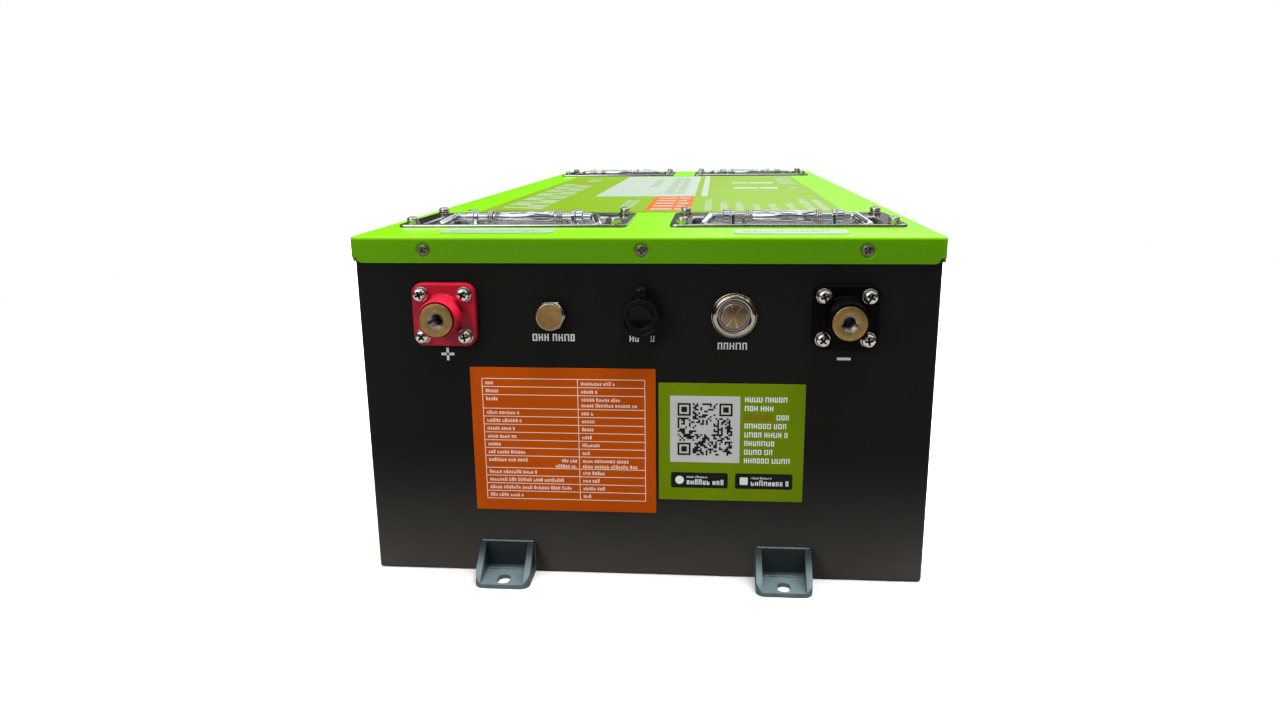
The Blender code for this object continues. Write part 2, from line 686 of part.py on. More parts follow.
def build_cap(at, mat):
    """Build the dust cap about its bend, with strap and pull tab."""
    hinge = (at[0], at[1] - CAP_HINGE_REACH, at[2] + CAP_HINGE_Z)
    shift = Vector((0.0, CAP_HINGE_REACH, -CAP_HINGE_Z))
    profile = [(9.7, 3.0), (10.4, 3.0), (10.8, 3.5), (10.8, 11.2), (10.3, 11.7), (9.2, 11.7), (9.0, 11.2)]
    profile += [(7.0, 11.2), (6.8, 11.6), (5.9, 11.6), (5.7, 11.1)]
    inner = [(8.9, 9.3), (9.7, 8.9)]
    bm = bmesh.new()
    sides = 32
    rings = add_turned(bm, list(reversed(inner)), sides)
    rings = list(reversed(rings)) + add_turned(bm, profile, sides)
    moved = []
    for ring in rings:
        moved.append([Vector(point) + shift for point in ring])
    loft(bm, moved)
    cap = place("dust_cap", bm, mat, hinge)
    bm = bmesh.new()
    half = STRAP_WIDTH / 2.0
    wide = 6.2
    low = []
    outline = [(-wide, 8.2), (-half - 1.0, 10.9), (-half, 13.0), (-half, 15.6), (half, 15.6), (half, 13.0)]
    outline += [(half + 1.0, 10.9), (wide, 8.2)]
    for reach in (9.4, 10.8):
        low.append([Vector((x, -reach, z)) + shift for x, z in outline])
    loft(bm, low)
    combine(cap, cutter("dust_cap_strap", bm, hinge), "UNION")
    bm = bmesh.new()
    side = [(9.4, 15.0), (10.8, 15.0), (10.8, 15.6), (10.5, 16.4), (9.8, 17.1), (8.2, 17.8)]
    for step in range(5):
        angle = math.radians(90.0 + 45.0 * step)
        side.append((CAP_HINGE_REACH + 0.5 * math.cos(angle), CAP_HINGE_Z + 0.5 * math.sin(angle)))
    side += [(7.6, 16.8), (8.8, 16.2)]
    rings = []
    for x in (-half, half):
        rings.append([Vector((x, -reach, z)) + shift for reach, z in side])
    loft(bm, rings)
    combine(cap, cutter("dust_cap_bend", bm, hinge), "UNION")
    bm = bmesh.new()
    outline = [(0.4, -9.6), (0.6, -13.0), (1.6, -15.2), (3.0, -16.0), (4.4, -15.2), (5.2, -13.0), (5.2, -8.6)]
    rings = []
    for reach in (3.4, 5.4):
        rings.append([Vector((x, -reach, z)) + shift for x, z in outline])
    loft(bm, rings)
    combine(cap, cutter("dust_cap_tab", bm, hinge), "UNION")


def build_button(mats):
    """Build the push button: bezel, ring light, plunger and nut."""
    at = (BUTTON_X, PANEL_Y - GAP, PANEL_ROW_Z)
    profile = [(10.9, -22.0), (10.9, 0.0), (12.7, 0.0), (12.7, 0.9), (12.1, 2.2), (11.0, 3.0), (9.6, 3.2), (9.1, 3.0)]
    profile += [(9.1, 0.4), (7.9, 0.4), (7.9, -8.0)]
    place("button_housing", turned(profile, 32), mats["chrome"], at)
    profile = [(8.8, 0.7), (8.8, 2.4), (8.5, 2.7), (7.9, 2.7), (7.7, 2.4), (7.7, 0.7)]
    place("button_ring", turned_ring(profile, 32), mats["ring_plastic"], at)
    profile = [(7.25, -4.0), (7.25, 2.3), (6.9, 2.6)]
    place("button_plunger", turned(profile, 32), mats["steel"], at)
    build_nut("button_nut", BUTTON_X, 10.9, 14.5, 3.0, mats["nickel"])


# Labels.

def build_labels(mats):
    """Build the printed labels on the front panel and on the lid."""
    for name, mat, x0, x1, z0, z1 in (
        ("label_rating", mats["orange_label"], -100.0, 7.4, 39.8, 127.5),
        ("label_code", mats["olive_label"], 9.0, 92.2, 48.6, 119.5),
    ):
        bm = bmesh.new()
        half_x = (x1 - x0) / 2.0
        half_z = (z1 - z0) / 2.0
        outline = rounded_rectangle(half_x, half_z, 1.0, 2)
        add_prism_y(bm, outline, -0.12, 0.12)
        place(name, bm, mat, ((x0 + x1) / 2.0, PANEL_Y - 0.24, (z0 + z1) / 2.0))
    for name, mat, x, y, half_x, half_y in (
        ("label_lid", mats["olive_label"], 0.0, 4.0, 130.0, 250.0),
        ("label_serial_left", mats["pale_label"], -85.5, -371.0, 33.0, 12.0),
        ("label_serial_right", mats["pale_label"], 83.0, -375.5, 32.0, 12.0),
    ):
        bm = bmesh.new()
        add_prism(bm, rounded_rectangle(half_x, half_y, 1.0, 2), -0.12, 0.12)
        place(name, bm, mat, (x, y, LID_TOP + 0.24))


# Inside of the case.

def module_mesh():
    """Return one module of upright cells with a groove at each joint."""
    half_x = MODULE_WIDTH / 2.0
    half_y = MODULE_LENGTH / 2.0
    pitch = MODULE_LENGTH / CELLS_PER_MODULE
    right = [(half_x, -half_y)]
    for joint in range(1, CELLS_PER_MODULE):
        y = -half_y + joint * pitch
        right += [(half_x, y - 1.0), (half_x - 1.0, y), (half_x, y + 1.0)]
    right.append((half_x, half_y))
    left = [(-x, y) for x, y in reversed(right)]
    bm = bmesh.new()
    add_prism(bm, right + left, 0.0, MODULE_HEIGHT)
    return bm


def build_modules(mats):
    """Build the four cell modules in two rows."""
    offset = MODULE_WIDTH / 2.0 + 0.6
    for row, side in (("left", -1.0), ("right", 1.0)):
        for place_word, y in (("front", 0.5), ("rear", 1.5)):
            middle = MODULE_FRONT_Y + y * (MODULE_LENGTH + 1.0)
            at = (side * offset, middle, MODULE_BOTTOM)
            place("cells_%s_%s" % (row, place_word), module_mesh(), mats["cell_wrap"], at)


def build_end_plates(mats):
    """Build the plates that hold the modules and the rear packer."""
    half_x = MODULE_WIDTH + 0.8
    front = MODULE_FRONT_Y - 0.4
    rear = MODULE_FRONT_Y + 2.0 * (MODULE_LENGTH + 1.0) + 0.4
    for name, low, high in (("end_plate_front", front - 5.0, front), ("end_plate_rear", rear, rear + 5.0)):
        bm = bmesh.new()
        add_box(bm, (-half_x, low, MODULE_BOTTOM), (half_x, high, MODULE_BOTTOM + 150.0))
        place(name, bm, mats["aluminium"])
    bm = bmesh.new()
    add_box(bm, (-half_x, -(-MODULE_FRONT_Y + 10.0), CASE_SHEET + GAP), (half_x, rear + 5.0, MODULE_BOTTOM - 0.3))
    place("base_mat", bm, mats["rubber"])
    top = MODULE_BOTTOM + MODULE_HEIGHT
    bm = bmesh.new()
    add_box(bm, (-half_x, MODULE_FRONT_Y, top + 12.0), (half_x, rear, top + 13.6))
    place("top_board", bm, mats["board"])


def build_controls(mats):
    """Build the control unit and its heat spreader behind the front panel."""
    front = MODULE_FRONT_Y - 5.4
    bm = bmesh.new()
    add_box(bm, (-70.0, front - 3.3, 12.0), (70.0, front - 0.3, 132.0))
    place("control_heat_plate", bm, mats["aluminium"])
    bm = bmesh.new()
    outline = rounded_rectangle(62.0, 52.0, 3.0, 2, (0.0, 72.0))
    add_prism_y(bm, outline, front - 23.6, front - 3.6)
    place("control_unit", bm, mats["black_plastic"])


def build_conductors(mats):
    """Build the busbars on the cells and the two main cables."""
    top = MODULE_BOTTOM + MODULE_HEIGHT + GAP
    rear = MODULE_FRONT_Y + 2.0 * (MODULE_LENGTH + 1.0)
    bm = bmesh.new()
    add_box(bm, (-110.0, rear - 36.0, top), (110.0, rear - 12.0, top + 2.5))
    place("busbar_rear", bm, mats["copper"])
    for word, x, mat in (("positive", -TERMINAL_X, mats["cable_red"]), ("negative", TERMINAL_X, mats["cable_black"])):
        bm = bmesh.new()
        add_box(bm, (x - 12.0, MODULE_FRONT_Y + 4.0, top), (x + 12.0, MODULE_FRONT_Y + 44.0, top + 2.5))
        place("busbar_" + word, bm, mats["copper"])
        start = PANEL_Y + STUD_INNER + GAP
        path = []
        points = [(x, start, PANEL_ROW_Z), (x, start + 26.0, PANEL_ROW_Z), (x, start + 52.0, PANEL_ROW_Z - 4.0)]
        points += [(x, start + 82.0, PANEL_ROW_Z - 2.0), (x, MODULE_FRONT_Y - 44.0, top - 3.0)]
        points += [(x, MODULE_FRONT_Y - 22.0, top + 5.0), (x, MODULE_FRONT_Y + 3.2, top + 5.4)]
        path = points
        bm = bmesh.new()
        rod(bm, path, 4.6, 12)
        place("cable_" + word, bm, mat)


def build_pack():
    """Build every piece of the pack."""
    for obj in list(bpy.data.objects):
        bpy.data.objects.remove(obj, do_unlink=True)
    mats = all_materials()
    build_case(mats["case_paint"])
    build_lid(mats["lid_paint"])
    build_gasket(mats["rubber"])
    build_lid_screws(mats["steel"])
    for word, end in (("front", -1.0), ("rear", 1.0)):
        build_foot("foot_%s_left" % word, mats["foot_paint"], -FOOT_X, end)
        build_foot("foot_%s_right" % word, mats["foot_paint"], FOOT_X, end)
    for word, at, turn in handle_points():
        build_handle(word, at, turn, mats)
    build_terminal("positive", -TERMINAL_X, mats["red_plastic"], mats["brass"])
    build_terminal("negative", TERMINAL_X, mats["black_plastic"], mats["brass"])
    build_vent(mats)
    build_port(mats)
    build_button(mats)
    build_labels(mats)
    build_modules(mats)
    build_end_plates(mats)
    build_controls(mats)
    build_conductors(mats)


build_pack()
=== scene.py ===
"""Looks of the deep cycle battery: detailed pieces, materials, light, camera.

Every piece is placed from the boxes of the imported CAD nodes.  Lengths in the
mesh code are millimetres and turn into metres when a piece is placed.
"""

import math
import random

import bmesh
import bpy
from mathutils import Matrix, Vector


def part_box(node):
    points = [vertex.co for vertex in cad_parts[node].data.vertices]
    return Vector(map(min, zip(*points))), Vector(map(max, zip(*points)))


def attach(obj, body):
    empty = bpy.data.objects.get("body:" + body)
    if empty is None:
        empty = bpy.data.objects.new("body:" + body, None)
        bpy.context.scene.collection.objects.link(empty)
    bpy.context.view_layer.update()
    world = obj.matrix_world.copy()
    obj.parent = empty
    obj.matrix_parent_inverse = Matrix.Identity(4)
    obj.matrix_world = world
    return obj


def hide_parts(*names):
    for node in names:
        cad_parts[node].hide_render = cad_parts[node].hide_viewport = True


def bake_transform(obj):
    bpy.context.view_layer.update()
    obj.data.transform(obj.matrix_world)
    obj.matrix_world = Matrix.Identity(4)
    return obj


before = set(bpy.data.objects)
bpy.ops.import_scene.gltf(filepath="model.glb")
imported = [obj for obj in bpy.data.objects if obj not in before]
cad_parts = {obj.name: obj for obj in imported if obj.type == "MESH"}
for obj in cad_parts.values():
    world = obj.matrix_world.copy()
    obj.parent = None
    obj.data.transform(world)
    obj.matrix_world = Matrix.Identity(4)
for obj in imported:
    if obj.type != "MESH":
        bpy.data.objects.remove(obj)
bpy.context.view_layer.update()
MM = 0.001


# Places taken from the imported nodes, in millimetres.

def node_box(node):
    """Return the lowest and highest corner of a node in millimetres."""
    low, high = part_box(node)
    return Vector(low) / MM, Vector(high) / MM


def node_middle(node):
    """Return the middle of a node's box in millimetres."""
    low, high = node_box(node)
    return (low + high) / 2.0


CASE_LOW, CASE_HIGH = node_box("case_body")
LID_LOW, LID_HIGH = node_box("lid_tray")
PANEL_Y = CASE_LOW.y
LID_TOP = LID_HIGH.z
SHEET = 1.5
GAP = 0.3  # clear space between a fitted piece and the sheet under it

# Turns a shape whose own axis is plus Z so that the axis points out of the
# front panel, with its own plus Y pointing up.
OUT_FRONT = Matrix(((1, 0, 0), (0, 0, -1), (0, 1, 0))).to_4x4()
OUT_REAR = Matrix.Rotation(math.pi, 4, "Z") @ OUT_FRONT
UPRIGHT = Matrix.Identity(4)
ENDS = ((-1.0, "front"), (1.0, "rear"))


# Node materials.

class Nodes:
    """Adds nodes to the tree of a material or a world."""

    def __init__(self, owner, space="Object", stretch=(1.0, 1.0, 1.0)):
        owner.use_nodes = True
        self.owner = owner
        self.tree = owner.node_tree
        coords = self.add("TexCoord").outputs[space]
        self.place = self.add("Mapping", {"Vector": coords, "Scale": stretch}).outputs["Vector"]

    def feed(self, node, inputs):
        """Set the inputs of a node to values, or link them to sockets."""
        for name, value in inputs.items():
            if isinstance(value, bpy.types.NodeSocket):
                self.tree.links.new(value, node.inputs[name])
            else:
                node.inputs[name].default_value = value

    def add(self, kind, inputs=None, **settings):
        """Add a node with its settings and inputs."""
        node = self.tree.nodes.new("ShaderNode" + kind)
        for name, value in settings.items():
            setattr(node, name, value)
        self.feed(node, inputs or {})
        return node

    def noise(self, scale, detail=3.0, rough=0.5):
        """Return the value of a noise texture."""
        inputs = {"Vector": self.place, "Scale": scale, "Detail": detail, "Roughness": rough}
        return self.add("TexNoise", inputs).outputs["Fac"]

    def calc(self, operation, first, second=0.0):
        """Return the result of a calculation."""
        return self.add("Math", {0: first, 1: second}, operation=operation).outputs["Value"]

    def remap(self, value, start, end, low=0.0, high=1.0, kind="SMOOTHSTEP"):
        """Return a value mapped from start..end to low..high."""
        inputs = {"Value": value, "From Min": start, "From Max": end, "To Min": low, "To Max": high}
        return self.add("MapRange", inputs, interpolation_type=kind).outputs["Result"]

    def axes(self):
        """Return the three parts of the position."""
        return self.add("SeparateXYZ", {"Vector": self.place}).outputs

    def mix(self, factor, first, second):
        """Return a blend of two colours."""
        return self.add("Mix", {"Factor": factor, 6: first, 7: second}, data_type="RGBA").outputs[2]

    def wander(self, value, color, amount, start=0.3, end=0.7):
        """Return a colour that goes from darker to lighter with a value."""
        node = self.add("ValToRGB", {"Fac": value})
        first, last = node.color_ramp.elements
        first.position = start
        first.color = (*(c * (1.0 - amount) for c in color), 1.0)
        last.position = end
        last.color = (*(min(c * (1.0 + amount), 1.0) for c in color), 1.0)
        return node.outputs["Color"]

    def shade(self, inputs):
        """Feed the shader and return the material."""
        self.feed(self.tree.nodes["Principled BSDF"], inputs)
        return self.owner

    def finish(self, color, polish, relief, more):
        """Feed the shader with wandering roughness and a bump, and return the material.

        polish is a noise scale with the lowest and highest roughness, relief a
        height value with the strength and distance of its bump.
        """
        scale, smoothest, roughest = polish
        height, strength, distance = relief
        rough = self.remap(self.noise(scale), 0.0, 1.0, smoothest, roughest, "LINEAR")
        bump = self.add("Bump", {"Height": height, "Strength": strength, "Distance": distance})
        normal = bump.outputs["Normal"]
        return self.shade({"Base Color": color, "Roughness": rough, "Normal": normal, **more})


def surface(name, stretch=(1.0, 1.0, 1.0)):
    """Return the nodes of a new material."""
    return Nodes(bpy.data.materials.new(name), "Object", stretch)


CLOUD = (4.0, 0.6)  # detail and roughness of a cloudy shade
COAT_POLISH = 60.0
GLOSS = "Specular IOR Level"


def coated(name, color, rough, peel=900.0, height=0.00012, amount=0.10, gloss=0.5):
    """Return a powder coat: soft orange peel and faint cloudy shade."""
    new = surface(name)
    shade = new.wander(new.noise(14.0, *CLOUD), color, amount)
    polish = (COAT_POLISH, rough - 0.05, rough + 0.05)
    return new.finish(shade, polish, (new.noise(peel, 2.0), 0.35, height), {GLOSS: gloss})


def bounce_painted_coat(name, color, bounce_color, rough):
    """Return the case's powder coat: near black, with painted floor-bounce light that makes it paler
    towards the ground.
    """
    new = surface(name)
    bounce_top = 0.085
    bare_coat = new.wander(new.noise(14.0, *CLOUD), color, 0.12)
    pale = new.wander(new.noise(22.0, *CLOUD), bounce_color, 0.10)
    # Painted floor-bounce light: the coat turns paler towards the ground over its lowest 85 mm.
    fade = new.calc("POWER", new.remap(new.axes()["Z"], bounce_top, 0.0, kind="LINEAR"), 2.0)
    polish = (COAT_POLISH, rough - 0.05, rough + 0.05)
    relief = (new.noise(1100.0, 2.0), 0.35, 0.00012)
    return new.finish(new.mix(fade, bare_coat, pale), polish, relief, {GLOSS: 0.08})


def shaded_coat(name, color, deep, rough):
    """Return the feet's coat: above the base it darkens with painted shade towards the back."""
    new = surface(name)
    bare_coat = new.wander(new.noise(90.0, *CLOUD), color, 0.18)
    painted_shade = new.wander(new.noise(140.0, *CLOUD), deep, 0.15)
    axes = new.axes()
    # Painted shade: the coat darkens towards the case above the base plate.
    fade = new.calc("MULTIPLY", new.remap(axes["Y"], -0.019, -0.004), new.remap(axes["Z"], 0.003, 0.006))
    polish = (COAT_POLISH, rough - 0.08, rough + 0.08)
    relief = (new.noise(500.0, 2.0), 0.35, 0.00010)
    return new.finish(new.mix(fade, bare_coat, painted_shade), polish, relief, {GLOSS: 0.35})


def metal(name, color, rough, grain=400.0, height=0.00003, stretch=(1.0, 1.0, 1.0)):
    """Return a metal with fine grain and uneven polish."""
    new = surface(name, stretch)
    shade = new.wander(new.noise(120.0), color, 0.12)
    relief = (new.noise(grain), 0.25, height)
    return new.finish(shade, (90.0, rough * 0.7, rough * 1.4), relief, {"Metallic": 1.0})


def plastic(name, color, rough, grain=1500.0, height=0.00004, gloss=0.5, scatter=0.0):
    """Return a moulded plastic or rubber with a fine skin."""
    new = surface(name)
    more = {GLOSS: gloss}
    if scatter > 0.0:
        more["Subsurface Weight"] = scatter
        more["Subsurface Radius"] = (0.004, 0.001, 0.001)
        more["Subsurface Scale"] = 0.5
    shade = new.wander(new.noise(70.0), color, 0.10)
    relief = (new.noise(grain, 2.0), 0.3, height)
    return new.finish(shade, (160.0, rough - 0.06, rough + 0.06), relief, more)


def printed(name, color, rough=0.5, gloss=0.15):
    """Return printed vinyl: even colour with a very soft ripple."""
    new = surface(name)
    shade = new.wander(new.noise(35.0), color, 0.06)
    relief = (new.noise(180.0, 2.0), 0.15, 0.0001)
    return new.finish(shade, (200.0, rough - 0.05, rough + 0.08), relief, {GLOSS: gloss})


def turned_metal(name, color, rough, rings=2600.0):
    """Return lathe-turned metal: fine rings round the axis that points out of the panel."""
    new = surface(name)
    inputs = {"Vector": new.place, "Scale": rings, "Distortion": 0.6}
    wave = new.add("TexWave", inputs, wave_type="RINGS", rings_direction="Y").outputs["Fac"]
    shade = new.wander(new.noise(320.0, 5.0), color, 0.18)
    return new.finish(shade, (500.0, rough * 0.8, rough * 1.3), (wave, 0.12, 0.00002), {"Metallic": 1.0})


def spun_metal(name, color, rough):
    """Return a spun face: streaks that run out from the middle and two painted highlight rays."""
    new = surface(name)
    axes = new.axes()
    angle = new.calc("ARCTAN2", axes["Z"], axes["X"])
    inputs = {"W": angle, "Scale": 5.0, "Detail": 6.0}
    streak = new.add("TexNoise", inputs, noise_dimensions="1D").outputs["Fac"]
    face = new.wander(streak, color, 0.16, 0.35, 0.65)
    # Two painted highlights: thin bright rays mixed into the colour at fixed angles.
    for turn in (1.86, 0.94):
        ray = new.calc("SUBTRACT", angle, turn)
        for operation, value in (("COSINE", 0.0), ("ABSOLUTE", 0.0), ("POWER", 900.0), ("MULTIPLY", 0.6)):
            ray = new.calc(operation, ray, value)
        face = new.mix(ray, face, (0.80, 0.66, 0.52, 1.0))
    tangent = new.add("Tangent", direction_type="RADIAL", axis="Y").outputs["Tangent"]
    inputs = {"Base Color": face, "Roughness": rough, "Metallic": 1.0}
    return new.shade({**inputs, "Anisotropic": 0.55, "Tangent": tangent})


MATS = {
    # The case's second colour is painted floor-bounce light that pales the coat near the ground.
    "case": bounce_painted_coat("case_coat", (0.0064, 0.0068, 0.0063), (0.084, 0.075, 0.066), 0.55),
    "lid": coated("lid_coat", (0.090, 0.262, 0.0003), 0.28, 700.0, 0.00007, 0.04, 0.2),
    # The foot's second colour is painted shade near the case.
    "foot": shaded_coat("foot_coat", (0.098, 0.138, 0.146), (0.006, 0.010, 0.012), 0.40),
    "weld": coated("weld_coat", (0.080, 0.110, 0.116), 0.22, 800.0, 0.0002, 0.35, 0.9),
    "chrome": metal("chrome", (0.66, 0.69, 0.70), 0.055, 400.0, 0.000005),
    "bezel": metal("bezel_chrome", (0.44, 0.37, 0.29), 0.07, 400.0, 0.00001),
    "plate": metal("plate_chrome", (0.60, 0.59, 0.58), 0.10, 250.0, 0.00002),
    "screw": metal("screw_plate", (0.66, 0.63, 0.58), 0.17, 900.0, 0.00002),
    "dull_screw": metal("dull_screw", (0.20, 0.17, 0.15), 0.38, 900.0, 0.00005),
    # Dark metal in the cross recesses of the screws: painted shade.
    "recess": metal("screw_recess", (0.05, 0.042, 0.035), 0.5),
    "nickel": metal("nickel", (0.62, 0.60, 0.56), 0.16, 300.0, 0.00002),
    "brass": turned_metal("terminal_metal", (0.36, 0.225, 0.085), 0.42),
    # Thread metal darkened as painted shade inside the bore.
    "thread": metal("thread_painted_shade", (0.30, 0.28, 0.25), 0.25),
    "vent_face": turned_metal("vent_metal", (0.36, 0.215, 0.075), 0.40, 1800.0),
    "spun": spun_metal("spun_face", (0.25, 0.165, 0.092), 0.34),
    "ring": plastic("ring_plastic", (0.12, 0.12, 0.135), 0.35),
    "red": plastic("red_plastic", (0.36, 0.0065, 0.021), 0.30, 1300.0, 0.00004, 0.25, 0.1),
    "black": plastic("black_plastic", (0.0012, 0.0012, 0.0014), 0.30, 1500.0, 0.00004, 0.05),
    "rubber": plastic("black_rubber", (0.0008, 0.0012, 0.0014), 0.26, 900.0, 0.00006, 0.13),
    "orange": printed("orange_vinyl", (0.43, 0.064, 0.0003), 0.5, 0.08),
    "olive": printed("olive_vinyl", (0.135, 0.220, 0.0003), 0.5, 0.08),
    "lid_olive": printed("lid_vinyl", (0.078, 0.142, 0.001), 0.32, 0.24),
    "pale_print": printed("pale_print", (0.80, 0.62, 0.52)),
    "white_print": printed("white_print", (0.74, 0.76, 0.72)),
    "grey_print": printed("grey_print", (0.60, 0.60, 0.60)),
    "lid_white": printed("lid_white_print", (0.165, 0.195, 0.168), 0.30, 0.30),
    "lid_orange": printed("lid_orange_print", (0.22, 0.044, 0.002), 0.34, 0.20),
    "lid_pale": printed("lid_pale_print", (0.115, 0.165, 0.095), 0.30, 0.32),
    "code_grey": printed("code_ground", (0.50, 0.49, 0.48)),
    "code_black": printed("code_dark", (0.006, 0.005, 0.005)),
    "red_print": printed("red_print", (0.30, 0.06, 0.01)),
    "strip": printed("serial_strip", (0.128, 0.182, 0.118), 0.35, 0.3),
    "strip_ink": printed("serial_ink", (0.066, 0.140, 0.070), 0.35, 0.3),
    "cell": plastic("cell_film", (0.02, 0.07, 0.30), 0.35),
    "board": printed("glass_board", (0.50, 0.45, 0.18), 0.5),
    "copper": metal("copper_bar", (0.60, 0.26, 0.13), 0.30),
    "aluminium": metal("milled_sheet", (0.45, 0.45, 0.46), 0.35, 300.0, 0.00008, (1.0, 1.0, 12.0)),
    "cable_red": plastic("cable_red", (0.40, 0.01, 0.01), 0.5),
    "cable_black": plastic("cable_black", (0.01, 0.01, 0.01), 0.5),
}


# Mesh helpers.

def new_object(name, data):
    """Return a new object that holds data and stands in the scene."""
    obj = bpy.data.objects.new(name, data)
    bpy.context.scene.collection.objects.link(obj)
    return obj


def new_mesh(name, bm):
    """Return a mesh made from bm, which is used up."""
    mesh = bpy.data.meshes.new(name)
    bm.to_mesh(mesh)
    bm.free()
    return mesh


def put(name, bm, mats, at, turn=UPRIGHT, body="pack", smooth=35.0, slot=None, node=None):
    """Place a mesh as a piece that rides on a body, perhaps in place of a node."""
    bmesh.ops.transform(bm, matrix=turn, verts=bm.verts)
    bmesh.ops.scale(bm, vec=(MM, MM, MM), verts=bm.verts)
    bmesh.ops.recalc_face_normals(bm, faces=bm.faces)
    mesh = new_mesh(name, bm)
    for mat in mats.split():
        mesh.materials.append(MATS[mat])
    if smooth > 0.0:
        mesh.shade_smooth()
        mesh.set_sharp_from_angle(angle=math.radians(smooth))
    obj = new_object(name, mesh)
    obj.location = Vector(at) * MM
    if node:
        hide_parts(node)
    if body:
        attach(obj, body)
    return obj


def again(obj, name, at, turn_z=0.0, body="pack"):
    """Place another piece that shares the mesh of obj."""
    copy = new_object(name, obj.data)
    copy.location = Vector(at) * MM
    copy.rotation_euler = (0.0, 0.0, turn_z)
    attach(copy, body)
    return copy


def soften(obj, width):
    """Round the sharp edges of a piece and keep its flats flat."""
    bevel = obj.modifiers.new("round", "BEVEL")
    bevel.width = width * MM
    bevel.segments = 3
    bevel.limit_method = "ANGLE"
    bevel.angle_limit = math.radians(35.0)
    bevel.harden_normals = True


def paint_above(bm, z):
    """Give the faces above a height the second material."""
    for face in bm.faces:
        if face.calc_center_median().z > z:
            face.material_index = 1


def arc(radius, first, last, steps, center=(0.0, 0.0)):
    """Return points on an arc between two angles in degrees."""
    points = []
    for step in range(steps + 1):
        angle = math.radians(first + (last - first) * step / steps)
        points.append((center[0] + radius * math.cos(angle), center[1] + radius * math.sin(angle)))
    return points


def circle(radius, sides, center=(0.0, 0.0)):
    """Return the outline of a circle."""
    return arc(radius, 0.0, 360.0, sides, center)[:-1]


def quarter(radius, steps):
    """Return pairs of inset and rise from the start to the end of a rounded edge."""
    return [(radius - y, radius - x) for x, y in arc(radius, 0.0, 90.0, steps)]


CORNERS = ((1.0, 1.0), (-1.0, 1.0), (-1.0, -1.0), (1.0, -1.0))


def rounded_rectangle(half_x, half_y, radius, steps, center=(0.0, 0.0)):
    """Return the outline of a rectangle with round corners."""
    points = []
    for number, (side_x, side_y) in enumerate(CORNERS):
        middle = (center[0] + side_x * (half_x - radius), center[1] + side_y * (half_y - radius))
        points += arc(radius, 90.0 * number, 90.0 * number + 90.0, steps, middle)
    return points


def at_level(outline, level, axis=2):
    """Put a flat outline at a level along an axis; its pairs go to the other two in order."""
    return [(*pair[:axis], level, *pair[axis:]) for pair in outline]


def loft(bm, rings, closed=False, slot=0):
    """Join rings of equal size into a closed skin."""
    rows = [[bm.verts.new(point) for point in ring] for ring in rings]
    count = len(rows[0])
    pairs = list(zip(rows[:-1], rows[1:]))
    if closed:
        pairs.append((rows[-1], rows[0]))
    for low, high in pairs:
        for i in range(count):
            j = (i + 1) % count
            bm.faces.new((low[i], low[j], high[j], high[i])).material_index = slot
    if not closed:
        bm.faces.new(list(reversed(rows[0]))).material_index = slot
        bm.faces.new(rows[-1]).material_index = slot
    return bm


def add_prism(bm, outline, low, high, slot=0, axis=2):
    """Add a prism along an axis."""
    return loft(bm, [at_level(outline, low, axis), at_level(outline, high, axis)], slot=slot)


def add_box(bm, low, high, slot=0):
    """Add a box between two corners."""
    outline = [(low[0], low[1]), (high[0], low[1]), (high[0], high[1]), (low[0], high[1])]
    return add_prism(bm, outline, low[2], high[2], slot)


def add_turned(bm, profile, sides, closed=False, center=(0.0, 0.0), slot=0, axis=2):
    """Add a solid turned about a line along an axis from pairs of radius and level."""
    rings = [at_level(circle(radius, sides, center), level, axis) for radius, level in profile]
    return loft(bm, rings, closed, slot)


def turned(profile, sides, closed=False):
    """Return a mesh turned about plus Z."""
    return add_turned(bmesh.new(), profile, sides, closed)


def add_rod(bm, path, radii, sides, closed=False):
    """Add a round rod along a path, with a radius for each point or one for all."""
    points = [Vector(point) for point in path]
    count = len(points)
    rings = []
    side = None
    for i, point in enumerate(points):
        before = points[i - 1] if closed else points[max(i - 1, 0)]
        after = points[(i + 1) % count] if closed else points[min(i + 1, count - 1)]
        along = (after - before).normalized()
        if side is None:
            up = Vector((0.0, 0.0, 1.0)) if abs(along.z) < 0.9 else Vector((0.0, 1.0, 0.0))
            side = along.cross(up).normalized()
        side = (side - along * side.dot(along)).normalized()
        other = along.cross(side).normalized()
        size = radii if isinstance(radii, float) else radii[i]
        rings.append([point + side * a + other * b for a, b in circle(size, sides)])
    loft(bm, rings, closed)


def rounded_path(corners, radii, steps):
    """Round the corners of a closed path."""
    path = []
    count = len(corners)
    for i, radius in enumerate(radii):
        here = Vector(corners[i])
        before = (Vector(corners[i - 1]) - here).normalized()
        after = (Vector(corners[(i + 1) % count]) - here).normalized()
        half = before.angle(after) / 2.0
        reach = radius / math.tan(half)
        middle = here + (before + after).normalized() * (radius / math.sin(half))
        first = (here + before * reach - middle).normalized()
        last = (here + after * reach - middle).normalized()
        for step in range(steps + 1):
            path.append(middle + first.slerp(last, step / steps) * radius)
    return path


def smooth_path(points, per):
    """Return a smooth curve through points, per steps to each span."""
    rows = [Vector(point) for point in points]
    path = []
    for i in range(len(rows) - 1):
        before = rows[max(i - 1, 0)]
        after = rows[min(i + 2, len(rows) - 1)]
        for step in range(per):
            t = step / per
            near = rows[i] * (2.0 - 5.0 * t * t + 3.0 * t ** 3) + before * (-t + 2.0 * t * t - t ** 3)
            far = rows[i + 1] * (t + 4.0 * t * t - 3.0 * t ** 3) + after * (t ** 3 - t * t)
            path.append((near + far) / 2.0)
    path.append(rows[-1])
    return path


